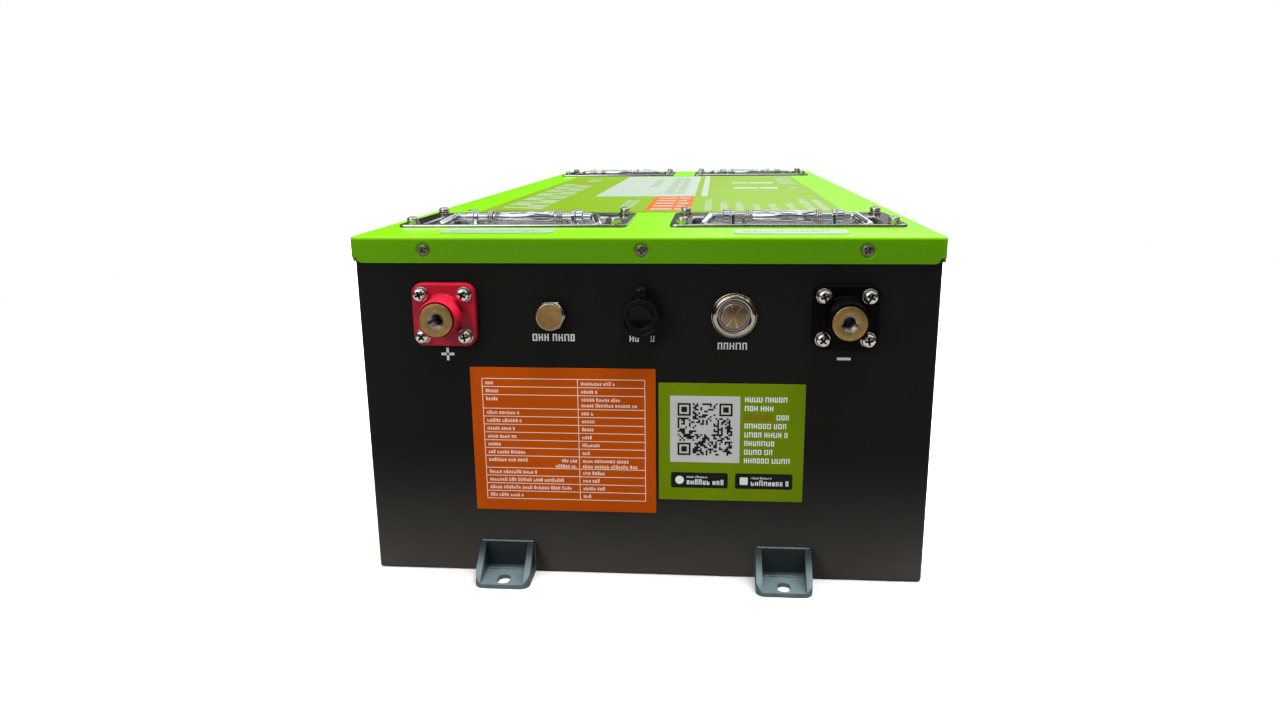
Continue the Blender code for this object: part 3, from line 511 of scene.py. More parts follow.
def carve(bm, cutter):
    """Return the mesh bm with the closed mesh cutter taken away."""
    pair = []
    for part in (bm, cutter):
        bmesh.ops.recalc_face_normals(part, faces=part.faces)
        pair.append(new_object("carve", new_mesh("carve", part)))
        for slot in range(3):
            pair[-1].data.materials.append(None)
    mod = pair[0].modifiers.new("cut", "BOOLEAN")
    mod.operation = "DIFFERENCE"
    mod.solver = "EXACT"
    mod.object = pair[1]
    graph = bpy.context.evaluated_depsgraph_get()
    result = bmesh.new()
    result.from_mesh(pair[0].evaluated_get(graph).to_mesh())
    for obj in pair:
        mesh = obj.data
        bpy.data.objects.remove(obj, do_unlink=True)
        bpy.data.meshes.remove(mesh)
    return result


# Case.

TERMINAL_X = abs(node_middle("terminal_stud_positive").x)
VENT_X = node_middle("vent_cap").x
PORT_X = node_middle("port_body").x
BUTTON_X = node_middle("button_plunger").x
ROW_Z = node_middle("vent_cap").z
LID_SCREW_X = abs(node_middle("lid_screw_front_left").x)
LID_SCREW_Z = node_middle("lid_screw_front_left").z


def on_panel(x, z=ROW_Z, reach=0.0):
    """Return a place on the front panel, reach in front of it."""
    return (x, PANEL_Y - GAP - reach, z)


def put_front(name, bm, mats, at, **more):
    """Place a mesh whose own plus Z points out of the front panel."""
    return put(name, bm, mats, at, OUT_FRONT, **more)


def build_case():
    """Build the folded case with soft bends, an inward rim and its holes."""
    bend = 2.4
    wall = 2.0
    rim = 12.0
    top = CASE_HIGH.z

    def ring(inset, radius, z):
        outline = rounded_rectangle(CASE_HIGH.x - inset, CASE_HIGH.y - inset, radius, 6)
        return at_level(outline, z)

    rings = [ring(inset, bend, rise) for inset, rise in quarter(bend / 2.0, 4)]
    rings += [ring(0.0, bend, top), ring(rim, bend, top), ring(rim, bend, top - wall)]
    rings += [ring(wall, bend / 2.0, top - wall), ring(wall, bend / 2.0, wall)]
    holes = bmesh.new()
    spots = [(-TERMINAL_X, 10.2), (TERMINAL_X, 10.2), (VENT_X, 6.3), (PORT_X, 6.8), (BUTTON_X, 11.2)]
    for x, radius in spots:
        add_prism(holes, circle(radius, 48, (x, ROW_Z)), PANEL_Y - 5.0, PANEL_Y + 6.0, axis=1)
    shell = carve(loft(bmesh.new(), rings), holes)
    put("case_shell", shell, "case", (0.0, 0.0, 0.0), slot="case_paint", node="case_body")


# Lid.

FLAP_RADIUS = 3.4
TOP_BEND = 2.0
LID_CORNER = 3.5
FLAP_STEPS = (4.0, 3.0, 2.2, 1.4, 0.7, 0.3)
DIMPLE = ((5.0, -0.3), (4.55, 0.05), (4.1, 0.55), (3.5, 0.85), (2.4, 0.9))

DISH_HALF_X = 57.0
DISH_HALF_Y = 25.5
DISH_Y = -12.5
DISH_DEPTH = 10.0

HANDLE_SPOTS = {}
for end, end_word in ENDS:
    for side_word in ("left", "right"):
        place = node_middle("handle_plate_%s_%s" % (end_word, side_word))
        HANDLE_SPOTS["%s_%s" % (end_word, side_word)] = (place.x, place.y, end)


def flap_outline(inset, radius):
    """Return the lid's outline and each point's distance from its corner bend."""
    points = []
    away = []
    for corner, (side_x, side_y) in enumerate(CORNERS):
        middle = Vector((side_x * (LID_HIGH.x - inset - radius), side_y * (LID_HIGH.y - inset - radius)))
        bend = [Vector(point) for point in arc(radius, 90.0 * corner, 90.0 * corner + 90.0, 8, middle)]
        for distance in FLAP_STEPS:
            points.append(bend[0] - distance * (bend[0] - middle).orthogonal().normalized())
        points += bend
        for distance in reversed(FLAP_STEPS):
            points.append(bend[-1] + distance * (bend[-1] - middle).orthogonal().normalized())
        away += [*FLAP_STEPS, *[0.0] * len(bend), *reversed(FLAP_STEPS)]
    return [(point.x, point.y) for point in points], away


def flap_ring(inset, radius, z):
    """Return the lid's outline at a height."""
    return at_level(flap_outline(inset, radius)[0], z)


def flap_edge(inset, radius):
    """Return the skirt's lower edge, which rises at each corner of its flaps."""
    ring = []
    for (x, y), distance in zip(*flap_outline(inset, radius)):
        short = max(FLAP_RADIUS - distance, 0.0)
        rise = FLAP_RADIUS - math.sqrt(FLAP_RADIUS ** 2 - short ** 2)
        ring.append((x, y, LID_LOW.z + 0.9 * rise))
    return ring


def build_lid():
    """Build the tray lid: bent edge, flaps with round corners, dimples, openings."""
    rings = []
    for inset, drop in quarter(TOP_BEND, 7):
        rings.append(flap_ring(inset, LID_CORNER - inset * 0.75, LID_TOP - drop))
    rings += [flap_edge(0.0, LID_CORNER), flap_edge(SHEET, LID_CORNER - SHEET)]
    rings.append(flap_ring(SHEET, LID_CORNER - SHEET, LID_TOP - SHEET))
    cuts = bmesh.new()
    for x, y, end in HANDLE_SPOTS.values():
        center = (x, y - end * DISH_Y)
        outline = rounded_rectangle(DISH_HALF_X + 2.3, DISH_HALF_Y + 2.3, 9.0, 8, center)
        add_prism(cuts, outline, LID_TOP - 8.0, LID_TOP + 5.0)
    for end, word in ENDS:
        for x in (-LID_SCREW_X, 0.0, LID_SCREW_X):
            profile = [(radius, end * (LID_HIGH.y - depth)) for radius, depth in DIMPLE]
            add_turned(cuts, profile, 40, center=(x, LID_SCREW_Z), axis=1)
    shell = carve(loft(bmesh.new(), rings), cuts)
    put("lid_shell", shell, "lid", (0.0, 0.0, 0.0), slot="lid_paint", node="lid_tray")


# Screws.

def cross_outline(reach, half, fillet):
    """Return the outline of a cross with cut inner corners."""
    points = []
    for quarter_turn in range(4):
        turn = Matrix.Rotation(math.pi / 2.0 * quarter_turn, 2)
        for corner in ((reach, -half), (reach, half), (half + fillet, half), (half, half + fillet)):
            points.append(tuple(turn @ Vector(corner)))
    return points


def cross_cutter(top, depth, size):
    """Return the cutter of a cross recess that narrows with depth."""
    rings = []
    for scale, z in ((0.35, top - depth), (0.8, top - depth * 0.55), (1.0, top), (1.08, top + 0.6)):
        reach = size * scale
        rings.append(at_level(cross_outline(reach, reach * 0.24, reach * 0.14), z))
    # Slot 1 takes the dark recess metal, painted shade in the cross.
    return loft(bmesh.new(), rings, slot=1)


def screw_mesh(radius, washer, spring, head, rim, shank=3.0, turn=0.0):
    """Return a pan head screw with a cross recess on a spring washer and a flat washer.

    washer, spring and head are heights, rim is the radius of the flat washer.
    """
    z = washer + spring
    profile = [(radius * 0.55, z - 0.2), (radius * 0.96, z), (radius, z + 0.25)]
    for x, y in arc(1.0, 0.0, 90.0, 6):
        profile.append((radius * (0.42 + 0.58 * x), z + head * (0.35 + 0.65 * y)))
    bm = carve(turned(profile, 40), cross_cutter(z + head, head * 0.62, radius * 0.62))
    bmesh.ops.rotate(bm, matrix=Matrix.Rotation(turn, 3, "Z"), verts=bm.verts)
    profile = [(rim * 0.5, 0.0), (rim - 0.12, 0.0), (rim, 0.12), (rim, washer - 0.12)]
    add_turned(bm, profile + [(rim - 0.12, washer), (rim * 0.5, washer)], 40, closed=True)
    wide = radius * 1.02
    section = ((wide * 0.6, 0.0), (wide, 0.0), (wide, spring * 0.8), (wide * 0.6, spring * 0.8))
    sides = 44
    rings = []
    for step, (x, y) in enumerate(arc(1.0, 20.0, 360.0, sides)):
        rise = washer + 0.05 + 0.22 * step / sides
        rings.append([(r * x, r * y, rise + h) for r, h in section])
    loft(bm, rings)
    return add_turned(bm, [(radius * 0.5, -shank), (radius * 0.5, z + 0.2)], 20)


def build_lid_screws():
    """Build the countersunk screws that sit in the skirt's dimples."""
    profile = [(1.9, -9.0), (1.9, -1.9), (3.15, -0.75), (3.25, -0.6), (3.2, -0.35), (2.7, 0.0)]
    for end, word in ENDS:
        for number, side in enumerate(("left", "mid", "right")):
            bm = carve(turned(profile + [(1.7, 0.2)], 40), cross_cutter(0.2, 1.4, 2.1))
            bmesh.ops.rotate(bm, matrix=Matrix.Rotation(0.6 + 0.9 * number, 3, "Z"), verts=bm.verts)
            node = "lid_screw_%s_%s" % (word, side)
            at = (node_middle(node).x, end * LID_HIGH.y, LID_SCREW_Z)
            put("countersunk_%s_%s" % (word, side), bm, "dull_screw recess", at,
                OUT_FRONT if end < 0.0 else OUT_REAR, slot="steel", node=node)


# Feet.

FOOT_REACH = 23.4
FOOT_HEIGHT = 19.8
FOOT_HALF = 16.1
FOOT_PLATE = 2.4
FOOT_CORNER = 5.5
FOOT_INNER = FOOT_HALF - 3.6


def foot_mesh():
    """Return one foot, open to minus Y and to the top: slotted base, two cheeks, back."""
    side = [(0.0, 0.0), (0.0, FOOT_HEIGHT), (-FOOT_PLATE - 0.4, FOOT_HEIGHT), (2.0 - FOOT_REACH, 5.0)]
    side += [(0.4 - FOOT_REACH, 2.6), (-FOOT_REACH, 0.0)]
    bm = add_prism(bmesh.new(), side, -FOOT_HALF, FOOT_HALF, axis=0)
    plan = [(-FOOT_HALF - 1.0, 2.0)]
    for first, middle_x in ((180.0, FOOT_CORNER - FOOT_HALF), (270.0, FOOT_HALF - FOOT_CORNER)):
        plan += arc(FOOT_CORNER, first, first + 90.0, 12, (middle_x, FOOT_CORNER - FOOT_REACH))
    plan.append((FOOT_HALF + 1.0, 2.0))
    outside = add_prism(bmesh.new(), plan, -2.0, FOOT_HEIGHT + 2.0)
    block = add_box(bmesh.new(), (-60.0, -60.0, -5.0), (60.0, 0.0, 40.0))
    bm = carve(bm, carve(block, outside))
    inside = add_box(bmesh.new(), (-FOOT_INNER, -FOOT_REACH - 3.0, FOOT_PLATE),
                     (FOOT_INNER, -FOOT_PLATE, FOOT_HEIGHT + 3.0))
    slot = add_prism(bmesh.new(), rounded_rectangle(3.7, 5.5, 3.69, 10, (0.0, -15.8)), -2.0, 5.0)
    return carve(carve(bm, inside), slot)


def add_bead(bm, start, end, radius, rng):
    """Add a weld bead: a row of small ripples from start to end."""
    a = Vector(start)
    b = Vector(end)
    ripple = 0.35
    count = max(int((b - a).length / ripple), 6)
    path = []
    radii = []
    for i in range(count + 1):
        wave = 0.5 + 0.5 * math.sin(i * 1.55)
        waver = Vector((0.0, rng.uniform(-0.1, 0.1), rng.uniform(-0.1, 0.1)))
        path.append(a + (b - a) * (i / count) + waver)
        radii.append(radius * (0.78 + 0.34 * wave + rng.uniform(-0.06, 0.06)))
    radii[0] = radii[-1] = radius * 0.3
    add_rod(bm, path, radii, 10)


def build_feet():
    """Build the four feet and their weld beads."""
    rng = random.Random(5)
    steel = None
    outer = FOOT_HALF - 0.4
    inner = FOOT_INNER - 0.3
    cheek = FOOT_HALF - 0.3
    top = FOOT_HEIGHT - 0.1
    back = -FOOT_PLATE - 0.2
    for end, word in ENDS:
        for side in ("left", "right"):
            place = "%s_%s" % (word, side)
            at = (node_middle("foot_" + place).x, end * (CASE_HIGH.y + GAP), 0.0)
            turn = 0.0 if end < 0.0 else math.pi
            if steel is None:
                piece = steel = put("foot_steel_" + place, foot_mesh(), "foot", at, smooth=30.0)
            else:
                piece = again(steel, "foot_steel_" + place, at, turn)
            soften(piece, 0.55)
            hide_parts("foot_" + place)
            bm = bmesh.new()
            add_bead(bm, (-outer, -0.7, top), (outer, -0.7, top), 0.8, rng)
            add_bead(bm, (-inner, back, 2.6), (inner, back, 2.6), 0.7, rng)
            for x in (-cheek, cheek):
                add_bead(bm, (x, -0.6, 2.0), (x, -0.6, FOOT_HEIGHT - 1.0), 0.7, rng)
            bead = put("foot_weld_" + place, bm, "weld", at, smooth=60.0, slot="foot_paint")
            bead.rotation_euler = (0.0, 0.0, turn)


# Folding handles.

PLATE_THICK = 1.5
HINGE = (3.0, 2.6)  # y and z of the hinge bar on the plate
HINGE_Y, HINGE_Z = HINGE
DISH_FLOOR = GAP + PLATE_THICK - DISH_DEPTH


def plate_mesh():
    """Return the pressed plate: a rolled rim round a filleted dish."""
    high = GAP + PLATE_THICK
    steps = 8

    def dish(grow, radius, z):
        outline = rounded_rectangle(DISH_HALF_X + grow, DISH_HALF_Y + grow, radius, steps, (0.0, DISH_Y))
        return at_level(outline, z)

    def rim(inset, z):
        return at_level(rounded_rectangle(70.0 - inset, 41.0 - inset, 4.0, steps), z)

    rings = [dish(-1.5, 6.0, DISH_FLOOR - PLATE_THICK), dish(1.5, 8.5, DISH_FLOOR + 1.5)]
    rings.append(dish(1.5, 8.5, GAP))
    rings += [rim(0.0, GAP), rim(0.0, high - 0.6), rim(0.18, high - 0.18), rim(0.6, high)]
    rings += [dish(inset, 8.5, high - drop) for inset, drop in quarter(1.5, 5)]
    rings += [dish(-inset, 7.0, DISH_FLOOR + lift) for lift, inset in quarter(3.5, 5)]
    return loft(bmesh.new(), rings)


def bearing_mesh():
    """Return the two pressed ears that hold the hinge bar, each with a foot."""
    bm = bmesh.new()
    floor = DISH_FLOOR - 0.4
    crown = 4.4
    outline = [(HINGE_Y - 7.6, floor), (HINGE_Y - crown, HINGE_Z - 1.0)]
    outline += arc(crown, 180.0, 0.0, 16, HINGE)
    outline += [(HINGE_Y + crown, HINGE_Z - 1.0), (HINGE_Y + 7.6, floor)]
    for side in (-1.0, 1.0):
        add_prism(bm, outline, *sorted((side * 30.6, side * 33.0)), axis=0)
        low, high = sorted((side * 26.0, side * 33.0))
        add_box(bm, (low, HINGE_Y - 7.4, floor), (high, HINGE_Y + 7.4, floor + 1.5))
    return bm


def collar_mesh():
    """Return the pair of turned collars beside the ears."""
    bm = bmesh.new()
    profile = [(3.05, 33.4), (3.9, 33.4), (4.3, 33.8), (4.3, 37.6), (3.9, 38.0), (3.05, 38.0)]
    for side in (-1.0, 1.0):
        add_turned(bm, [(radius, side * x) for radius, x in profile], 40, True, HINGE, axis=0)
    return bm


def spring_mesh():
    """Return the two torsion springs with their legs on the dish floor."""
    bm = bmesh.new()
    coil = arc(3.75, 200.0, 200.0 + 360.0 * 3.2, 72, HINGE)
    for side in (-1.0, 1.0):
        path = [(side * (20.4 + 3.7 * step / 72.0), y, z) for step, (y, z) in enumerate(coil)]
        last = Vector(path[-1])
        path.append(last + Vector((side * 0.2, -3.0, -2.5)))
        path.append(last + Vector((side * 0.4, -9.0, -5.6)))
        add_rod(bm, path, 0.6, 10)
    return bm


def loop_mesh():
    """Return the lifting loop about its hinge bar."""
    corners = [(-46.0, 0.0, 0.0), (46.0, 0.0, 0.0), (52.5, -32.0, -4.6), (-52.5, -32.0, -4.6)]
    bm = bmesh.new()
    add_rod(bm, rounded_path(corners, (5.0, 5.0, 8.0, 8.0), 10), 2.8, 28, closed=True)
    return bm


def sleeve_mesh():
    """Return the bright tube on the middle of the hinge bar."""
    half = [(3.1, 19.2), (3.3, 19.4), (3.5, 19.4), (3.75, 19.1)]
    profile = [(radius, -x) for radius, x in half] + half[::-1]
    return add_turned(bmesh.new(), profile, 48, True, axis=0)


def build_handles():
    """Build the four folding handles."""
    makers = [("plate", plate_mesh, "plate"), ("bearing", bearing_mesh, "chrome")]
    makers += [("collar", collar_mesh, "chrome"), ("spring", spring_mesh, "nickel")]
    makers += [("loop", loop_mesh, "chrome"), ("sleeve", sleeve_mesh, "chrome")]
    shared = {}
    screw = None
    for word, (x, y, end) in HANDLE_SPOTS.items():
        turn = 0.0 if end < 0.0 else math.pi
        for kind, maker, mat in makers:
            name = "handle_%s_piece_%s" % (kind, word)
            hinged = kind in ("loop", "sleeve")
            at = (x, y - end * HINGE_Y, LID_TOP + HINGE_Z) if hinged else (x, y, LID_TOP)
            body = "handle_loop_" + word if kind == "loop" else "pack"
            if kind in shared:
                piece = again(shared[kind], name, at, turn, body)
            else:
                piece = put(name, maker(), mat, at, body=body, smooth=50.0 if hinged else 40.0)
                shared[kind] = piece
            if hinged or kind == "plate":
                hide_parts("handle_%s_%s" % (kind, word))
            if kind == "bearing":
                soften(piece, 0.4)
        for number, (px, py) in enumerate(((-62.5, -34.5), (62.5, -34.5), (-62.5, 33.5), (62.5, 33.5))):
            name = "handle_screw_%s_%d" % (word, number)
            at = (x - end * px, y - end * py, LID_TOP + GAP + PLATE_THICK)
            if screw is None:
                bm = screw_mesh(3.5, 0.7, 1.1, 2.5, 4.3, 4.0)
                screw = put(name, bm, "screw recess", at, slot="steel")
            else:
                again(screw, name, at, 0.7 * number + 0.4)


# Terminals.

def build_terminal(word, x, mat, slot):
    """Build one terminal: moulded flange and boss, turned stud, four screws."""
    at = on_panel(x)
    half = 18.0
    round_edge = 1.1
    top = 4.8
    rings = [at_level(rounded_rectangle(half, half, 6.0, 12), 0.0)]
    for drop, inset in quarter(round_edge, 6):
        outline = rounded_rectangle(half - inset, half - inset, 6.0 - inset, 12)
        rings.append(at_level(outline, top - drop))
    bm = carve(loft(bmesh.new(), rings), turned([(9.7, -3.0), (9.7, 30.0)], 96))
    profile = [(9.72, 1.0), (12.9, 1.0), (12.9, 4.7), (12.1, 4.95), (11.6, 5.4), (11.35, 6.1)]
    profile += [(11.2, 7.2), (11.0, 18.2), (10.85, 18.8), (10.4, 19.15), (10.1, 19.2), (9.85, 19.0)]
    add_turned(bm, profile + [(9.72, 18.6)], 96, closed=True)
    node = "terminal_flange_" + word
    put_front("terminal_moulding_" + word, bm, mat, at, slot=slot, smooth=40.0, node=node)
    profile = [(9.4, -14.0), (9.4, 20.1), (9.25, 20.45), (8.95, 20.6)]
    profile += [(4.9, 20.6), (4.5, 20.45), (4.25, 20.1)]
    for thread in range(11):
        z = 19.7 - 1.25 * thread
        profile += [(3.55, z), (3.55, z - 0.25), (4.1, z - 0.62), (4.1, z - 0.85)]
    bm = turned(profile + [(3.5, 5.4), (3.5, 3.6)], 96)
    for face in bm.faces:
        middle = face.calc_center_median()
        face.material_index = 0 if middle.z > 20.5 else 1
        # The bore takes the darkened thread metal: painted shade.
        if math.hypot(middle.x, middle.y) < 4.4:
            face.material_index = 2
    node = "terminal_stud_" + word
    put_front("terminal_core_" + word, bm, "brass nickel thread", at, slot="brass", node=node)
    turns = (0.35, 1.1, 0.8, 0.15)
    for number, (px, pz) in enumerate(((-12.3, 12.0), (12.3, 12.0), (-12.3, -12.0), (12.3, -12.0))):
        bm = screw_mesh(3.9, 0.8, 1.2, 2.8, 4.3, turn=turns[number])
        spot = on_panel(x + px, ROW_Z + pz, top)
        put_front("terminal_screw_%s_%d" % (word, number), bm, "screw recess", spot, slot="steel")


# Vent, port and button.

def build_vent():
    """Build the air vent: hexagon body with chamfered corners, turned cap."""
    at = on_panel(VENT_X)
    flat = 7.9
    rings = []
    profile = [(5.9, -11.0), (5.9, 0.0), (8.5, 0.0), (8.8, 0.2), (8.8, 3.4), (8.3, 4.1), (7.8, 4.7)]
    for radius, z in profile + [(7.4, 5.1), (6.9, 5.3), (6.8, 6.0)]:
        ring = []
        for x, y in circle(1.0, 96):
            fold = (math.atan2(y, x) % (math.pi / 3.0)) - math.pi / 6.0
            size = min(radius, flat / math.cos(fold))
            ring.append((size * x, size * y, z))
        rings.append(ring)
    put_front("vent_hexagon", loft(bmesh.new(), rings), "nickel", at, slot="nickel", node="vent_body")
    profile = [(6.9, 5.9), (7.4, 6.1), (7.75, 6.4), (7.8, 6.7), (7.8, 7.9), (7.72, 8.2), (7.5, 8.5)]
    bm = turned(profile + [(7.3, 8.58), (7.15, 8.55)], 96)
    paint_above(bm, 8.54)
    put_front("vent_head", bm, "nickel vent_face", at, slot="brass", node="vent_cap")


def strap_rings(path, width_at, thick):
    """Return flat sections with soft edges along a path in the y and z plane."""
    rings = []
    h = thick / 2.0
    soft = 0.35
    for i, point in enumerate(path):
        along = (path[min(i + 1, len(path) - 1)] - path[max(i - 1, 0)]).normalized()
        out = Vector((0.0, -along.z, along.y))
        half = width_at(i / (len(path) - 1)) / 2.0
        section = [(half, h - soft), (half - soft, h), (soft - half, h), (-half, h - soft)]
        section += [(-x, -y) for x, y in section]
        rings.append([Vector((x, 0.0, 0.0)) + point + out * y for x, y in section])
    return rings


def build_port():
    """Build the data port and its tethered rubber cap."""
    at = on_panel(PORT_X)
    profile = [(6.4, -14.0), (6.4, 0.0), (9.9, 0.0), (10.2, 0.3), (10.2, 0.8), (9.9, 1.0), (7.6, 1.0)]
    profile += [(7.6, 2.6), (8.1, 2.6), (8.4, 2.9), (8.4, 8.2), (8.1, 8.6), (7.7, 8.8), (6.9, 8.8)]
    bm = turned(profile + [(6.6, 8.5), (6.6, 3.0)], 72)
    for center in arc(3.6, 90.0, 90.0 + 288.0, 4):
        add_turned(bm, [(0.6, 2.5), (0.6, 6.8), (0.35, 7.3)], 16, center=center, slot=1)
    put_front("port_socket", bm, "black nickel", at, slot="black_plastic", node="port_body")
    profile = [(8.9, 9.3), (8.9, 8.9), (9.3, 8.4), (9.7, 8.0), (9.7, 3.0), (10.3, 3.0), (10.7, 3.2)]
    profile += [(10.8, 3.6), (10.85, 7.0), (10.8, 10.9), (10.6, 11.4), (10.15, 11.68), (9.6, 11.7)]
    profile += [(9.2, 11.5), (9.0, 11.2), (8.7, 11.08), (7.3, 11.08), (6.95, 11.25), (6.75, 11.55)]
    bm = turned(profile + [(6.4, 11.65), (6.05, 11.5), (5.85, 11.15), (5.5, 11.0)], 96)
    tab_x = 2.7
    tab = [(tab_x + 2.3 * x, 2.7 * y - 13.2) for x, y in arc(1.0, 180.0, 360.0, 16)]
    tab += [(5.2, -8.4), (0.3, -9.4)]
    rings = []
    for inset, z in ((0.25, 3.4), (0.0, 3.7), (0.0, 5.1), (0.25, 5.4)):
        rings.append([(tab_x + (x - tab_x) * (1.0 - inset / 2.5), y + inset * 0.3, z) for x, y in tab])
    loft(bm, rings)
    put_front("dust_cap_cup", bm, "rubber", at, body="dust_cap", smooth=50.0, slot="rubber",
              node="dust_cap")


def build_strap():
    """Build the strap from the tether ring, over its bend, to the cap."""
    at = on_panel(PORT_X)
    spots = [(1.8, 8.8), (1.8, 11.5), (1.8, 14.0), (2.3, 15.9), (3.6, 17.0), (5.4, 17.3), (7.6, 17.2)]
    spots += [(9.3, 16.6), (10.1, 15.2), (10.2, 13.4), (10.2, 11.6), (10.2, 9.8), (10.2, 8.6)]
    path = smooth_path([(0.0, -reach, z) for reach, z in spots], 6)

    def width_at(part):
        flare = max(part - 0.80, 0.0) / 0.20
        return 5.4 + 7.4 * flare ** 1.8

    bm = loft(bmesh.new(), strap_rings(path, width_at, 1.15))
    profile = [(8.0, -1.35), (8.2, -1.15), (9.7, -1.15), (9.9, -1.35), (9.9, -2.1), (9.7, -2.3)]
    add_turned(bm, profile + [(8.2, -2.3), (8.0, -2.1)], 72, closed=True, axis=1)
    strap = put("dust_cap_strap", bm, "rubber", at, body=None, smooth=50.0, slot="rubber",
                node="cap_tether")
    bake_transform(strap)


def build_button():
    """Build the push button: domed bezel, ring light, spun plunger."""
    at = on_panel(BUTTON_X)
    profile = [(10.9, -22.0), (10.9, 0.0), (12.6, 0.0), (12.7, 0.15), (12.7, 0.75), (12.55, 0.95)]
    profile += [(9.9 + 2.45 * x, 1.0 + 2.15 * y) for x, y in arc(1.0, 0.0, 90.0, 8)]
    profile += [(9.5, 3.1), (9.2, 2.85), (9.05, 2.4), (9.0, 0.4), (7.9, 0.4), (7.9, -8.0)]
    put_front("button_bezel", turned(profile, 128), "bezel", at, smooth=45.0, slot="chrome",
              node="button_housing")
    profile = [(8.85, 0.7), (8.85, 2.3), (8.7, 2.6), (8.4, 2.7), (8.0, 2.7), (7.75, 2.55), (7.65, 2.3)]
    bm = turned(profile + [(7.65, 0.7)], 96, True)
    put_front("button_light_ring", bm, "ring", at, slot="ring_plastic", node="button_ring")
    bm = turned([(7.25, -4.0), (7.25, 2.25), (7.1, 2.5), (6.9, 2.6)], 96)
    paint_above(bm, 2.55)
    put_front("button_face", bm, "nickel spun", at, body="button_plunger", slot="steel",
              node="button_plunger")


build_case()
build_lid()
build_lid_screws()
build_feet()
build_handles()
build_terminal("positive", -TERMINAL_X, "red", "red_plastic")
build_terminal("negative", TERMINAL_X, "black", "black_plastic")
build_vent()
build_port()
build_strap()
build_button()


# Labels and printed marks.  Words and marks are stood for by rows of plain bars.

class Print:
    """A thin layer of printed shapes between two heights."""

    def __init__(self, rng, low, high):
        self.bm = bmesh.new()
        self.rng = rng
        self.low = low
        self.high = high

    def place(self, name, mats, at, turn=OUT_FRONT):
        """Place the finished print."""
        put(name, self.bm, mats, at, turn, smooth=0.0)

    def shape(self, outline, slot=0, lift=0.0):
        """Add one printed shape."""
        add_prism(self.bm, outline, self.low + lift, self.high + lift, slot)

    def tile(self, x, z, half_x, half_z):
        """Add a rectangle around the point x, z."""
        self.block(x - half_x, z - half_z, x + half_x, z + half_z)

    def block(self, left, bottom, right, top, slot=0, lift=0.0):
        """Add a rectangle between two corners."""
        self.shape([(left, bottom), (right, bottom), (right, top), (left, top)], slot, lift)

    def bars(self, left, base, width, height, slot=0, bold=1.3, caps=False, deep=False, lift=0.0):
        """Add a row of bar groups, the size of a line of print.

        The row starts at left and runs along plus x; a deep row runs along plus y
        instead, with its base at the larger x.
        """
        rng = self.rng
        x = left
        right = left + width
        stroke = 0.15 * height * bold
        group = rng.randint(3, 8)
        while x + stroke < right:
            tall = height if caps or rng.random() < 0.3 else height * 0.74
            glyph = (rng.uniform(0.58, 0.74) if caps else rng.uniform(0.42, 0.62)) * height
            glyph = min(glyph, right - x)
            if glyph < 0.4 * height:
                break
            short = tall if caps else tall * rng.choice((0.7, 1.0))
            strokes = [(x, x + stroke, 0.0, tall), (x + glyph - stroke, x + glyph, 0.0, short)]
            for level in rng.choice(((0.42,), (0.84,), (0.0,), (0.0, 0.84))):
                strokes.append((x, x + glyph, tall * level, tall * level + stroke * 0.85))
            for number, (start, end, bottom, top) in enumerate(strokes):
                outline = [(start, bottom), (end, bottom), (end, top), (start, top)]
                outline = [(base - pz, px) if deep else (px, base + pz) for px, pz in outline]
                high = self.high + (0.003 if number > 1 else 0.0)
                add_prism(self.bm, outline, self.low + lift, high + lift, slot)
            x += glyph + 0.2 * height
            group -= 1
            if group <= 0:
                x += 0.36 * height
                group = rng.randint(3, 8)


def sticker_mesh(half_x, half_y, thick, radius, steps):
    """Return a sticker with round corners and a fine edge."""
    edge = 0.08
    rings = []
    for inset, z in ((0.0, 0.0), (0.0, thick - edge), (edge, thick)):
        rings.append(at_level(rounded_rectangle(half_x - inset, half_y - inset, radius, steps), z))
    return loft(bmesh.new(), rings)


def panel_sticker(name, node, mat):
    """Build a sticker on the panel; return its middle, its thickness and where its print goes."""
    low, high = node_box(node)
    middle = (low + high) / 2.0
    thick = high.y - low.y
    at = (middle.x, high.y, middle.z)
    bm = sticker_mesh((high.x - low.x) / 2.0, (high.z - low.z) / 2.0, thick, 0.6, 6)
    put_front(name, bm, mat, at, node=node)
    return middle, thick, at


def lid_sticker(name, node, mat, slot, radius, steps):
    """Build a sticker on the lid; return its half width, its thickness and its place."""
    low, high = node_box(node)
    middle = (low + high) / 2.0
    thick = high.z - low.z
    at = (middle.x, middle.y, low.z)
    half_x = (high.x - low.x) / 2.0
    bm = sticker_mesh(half_x, (high.y - low.y) / 2.0, thick, radius, steps)
    put(name, bm, mat, at, slot=slot, node=node)
    return half_x, thick, at


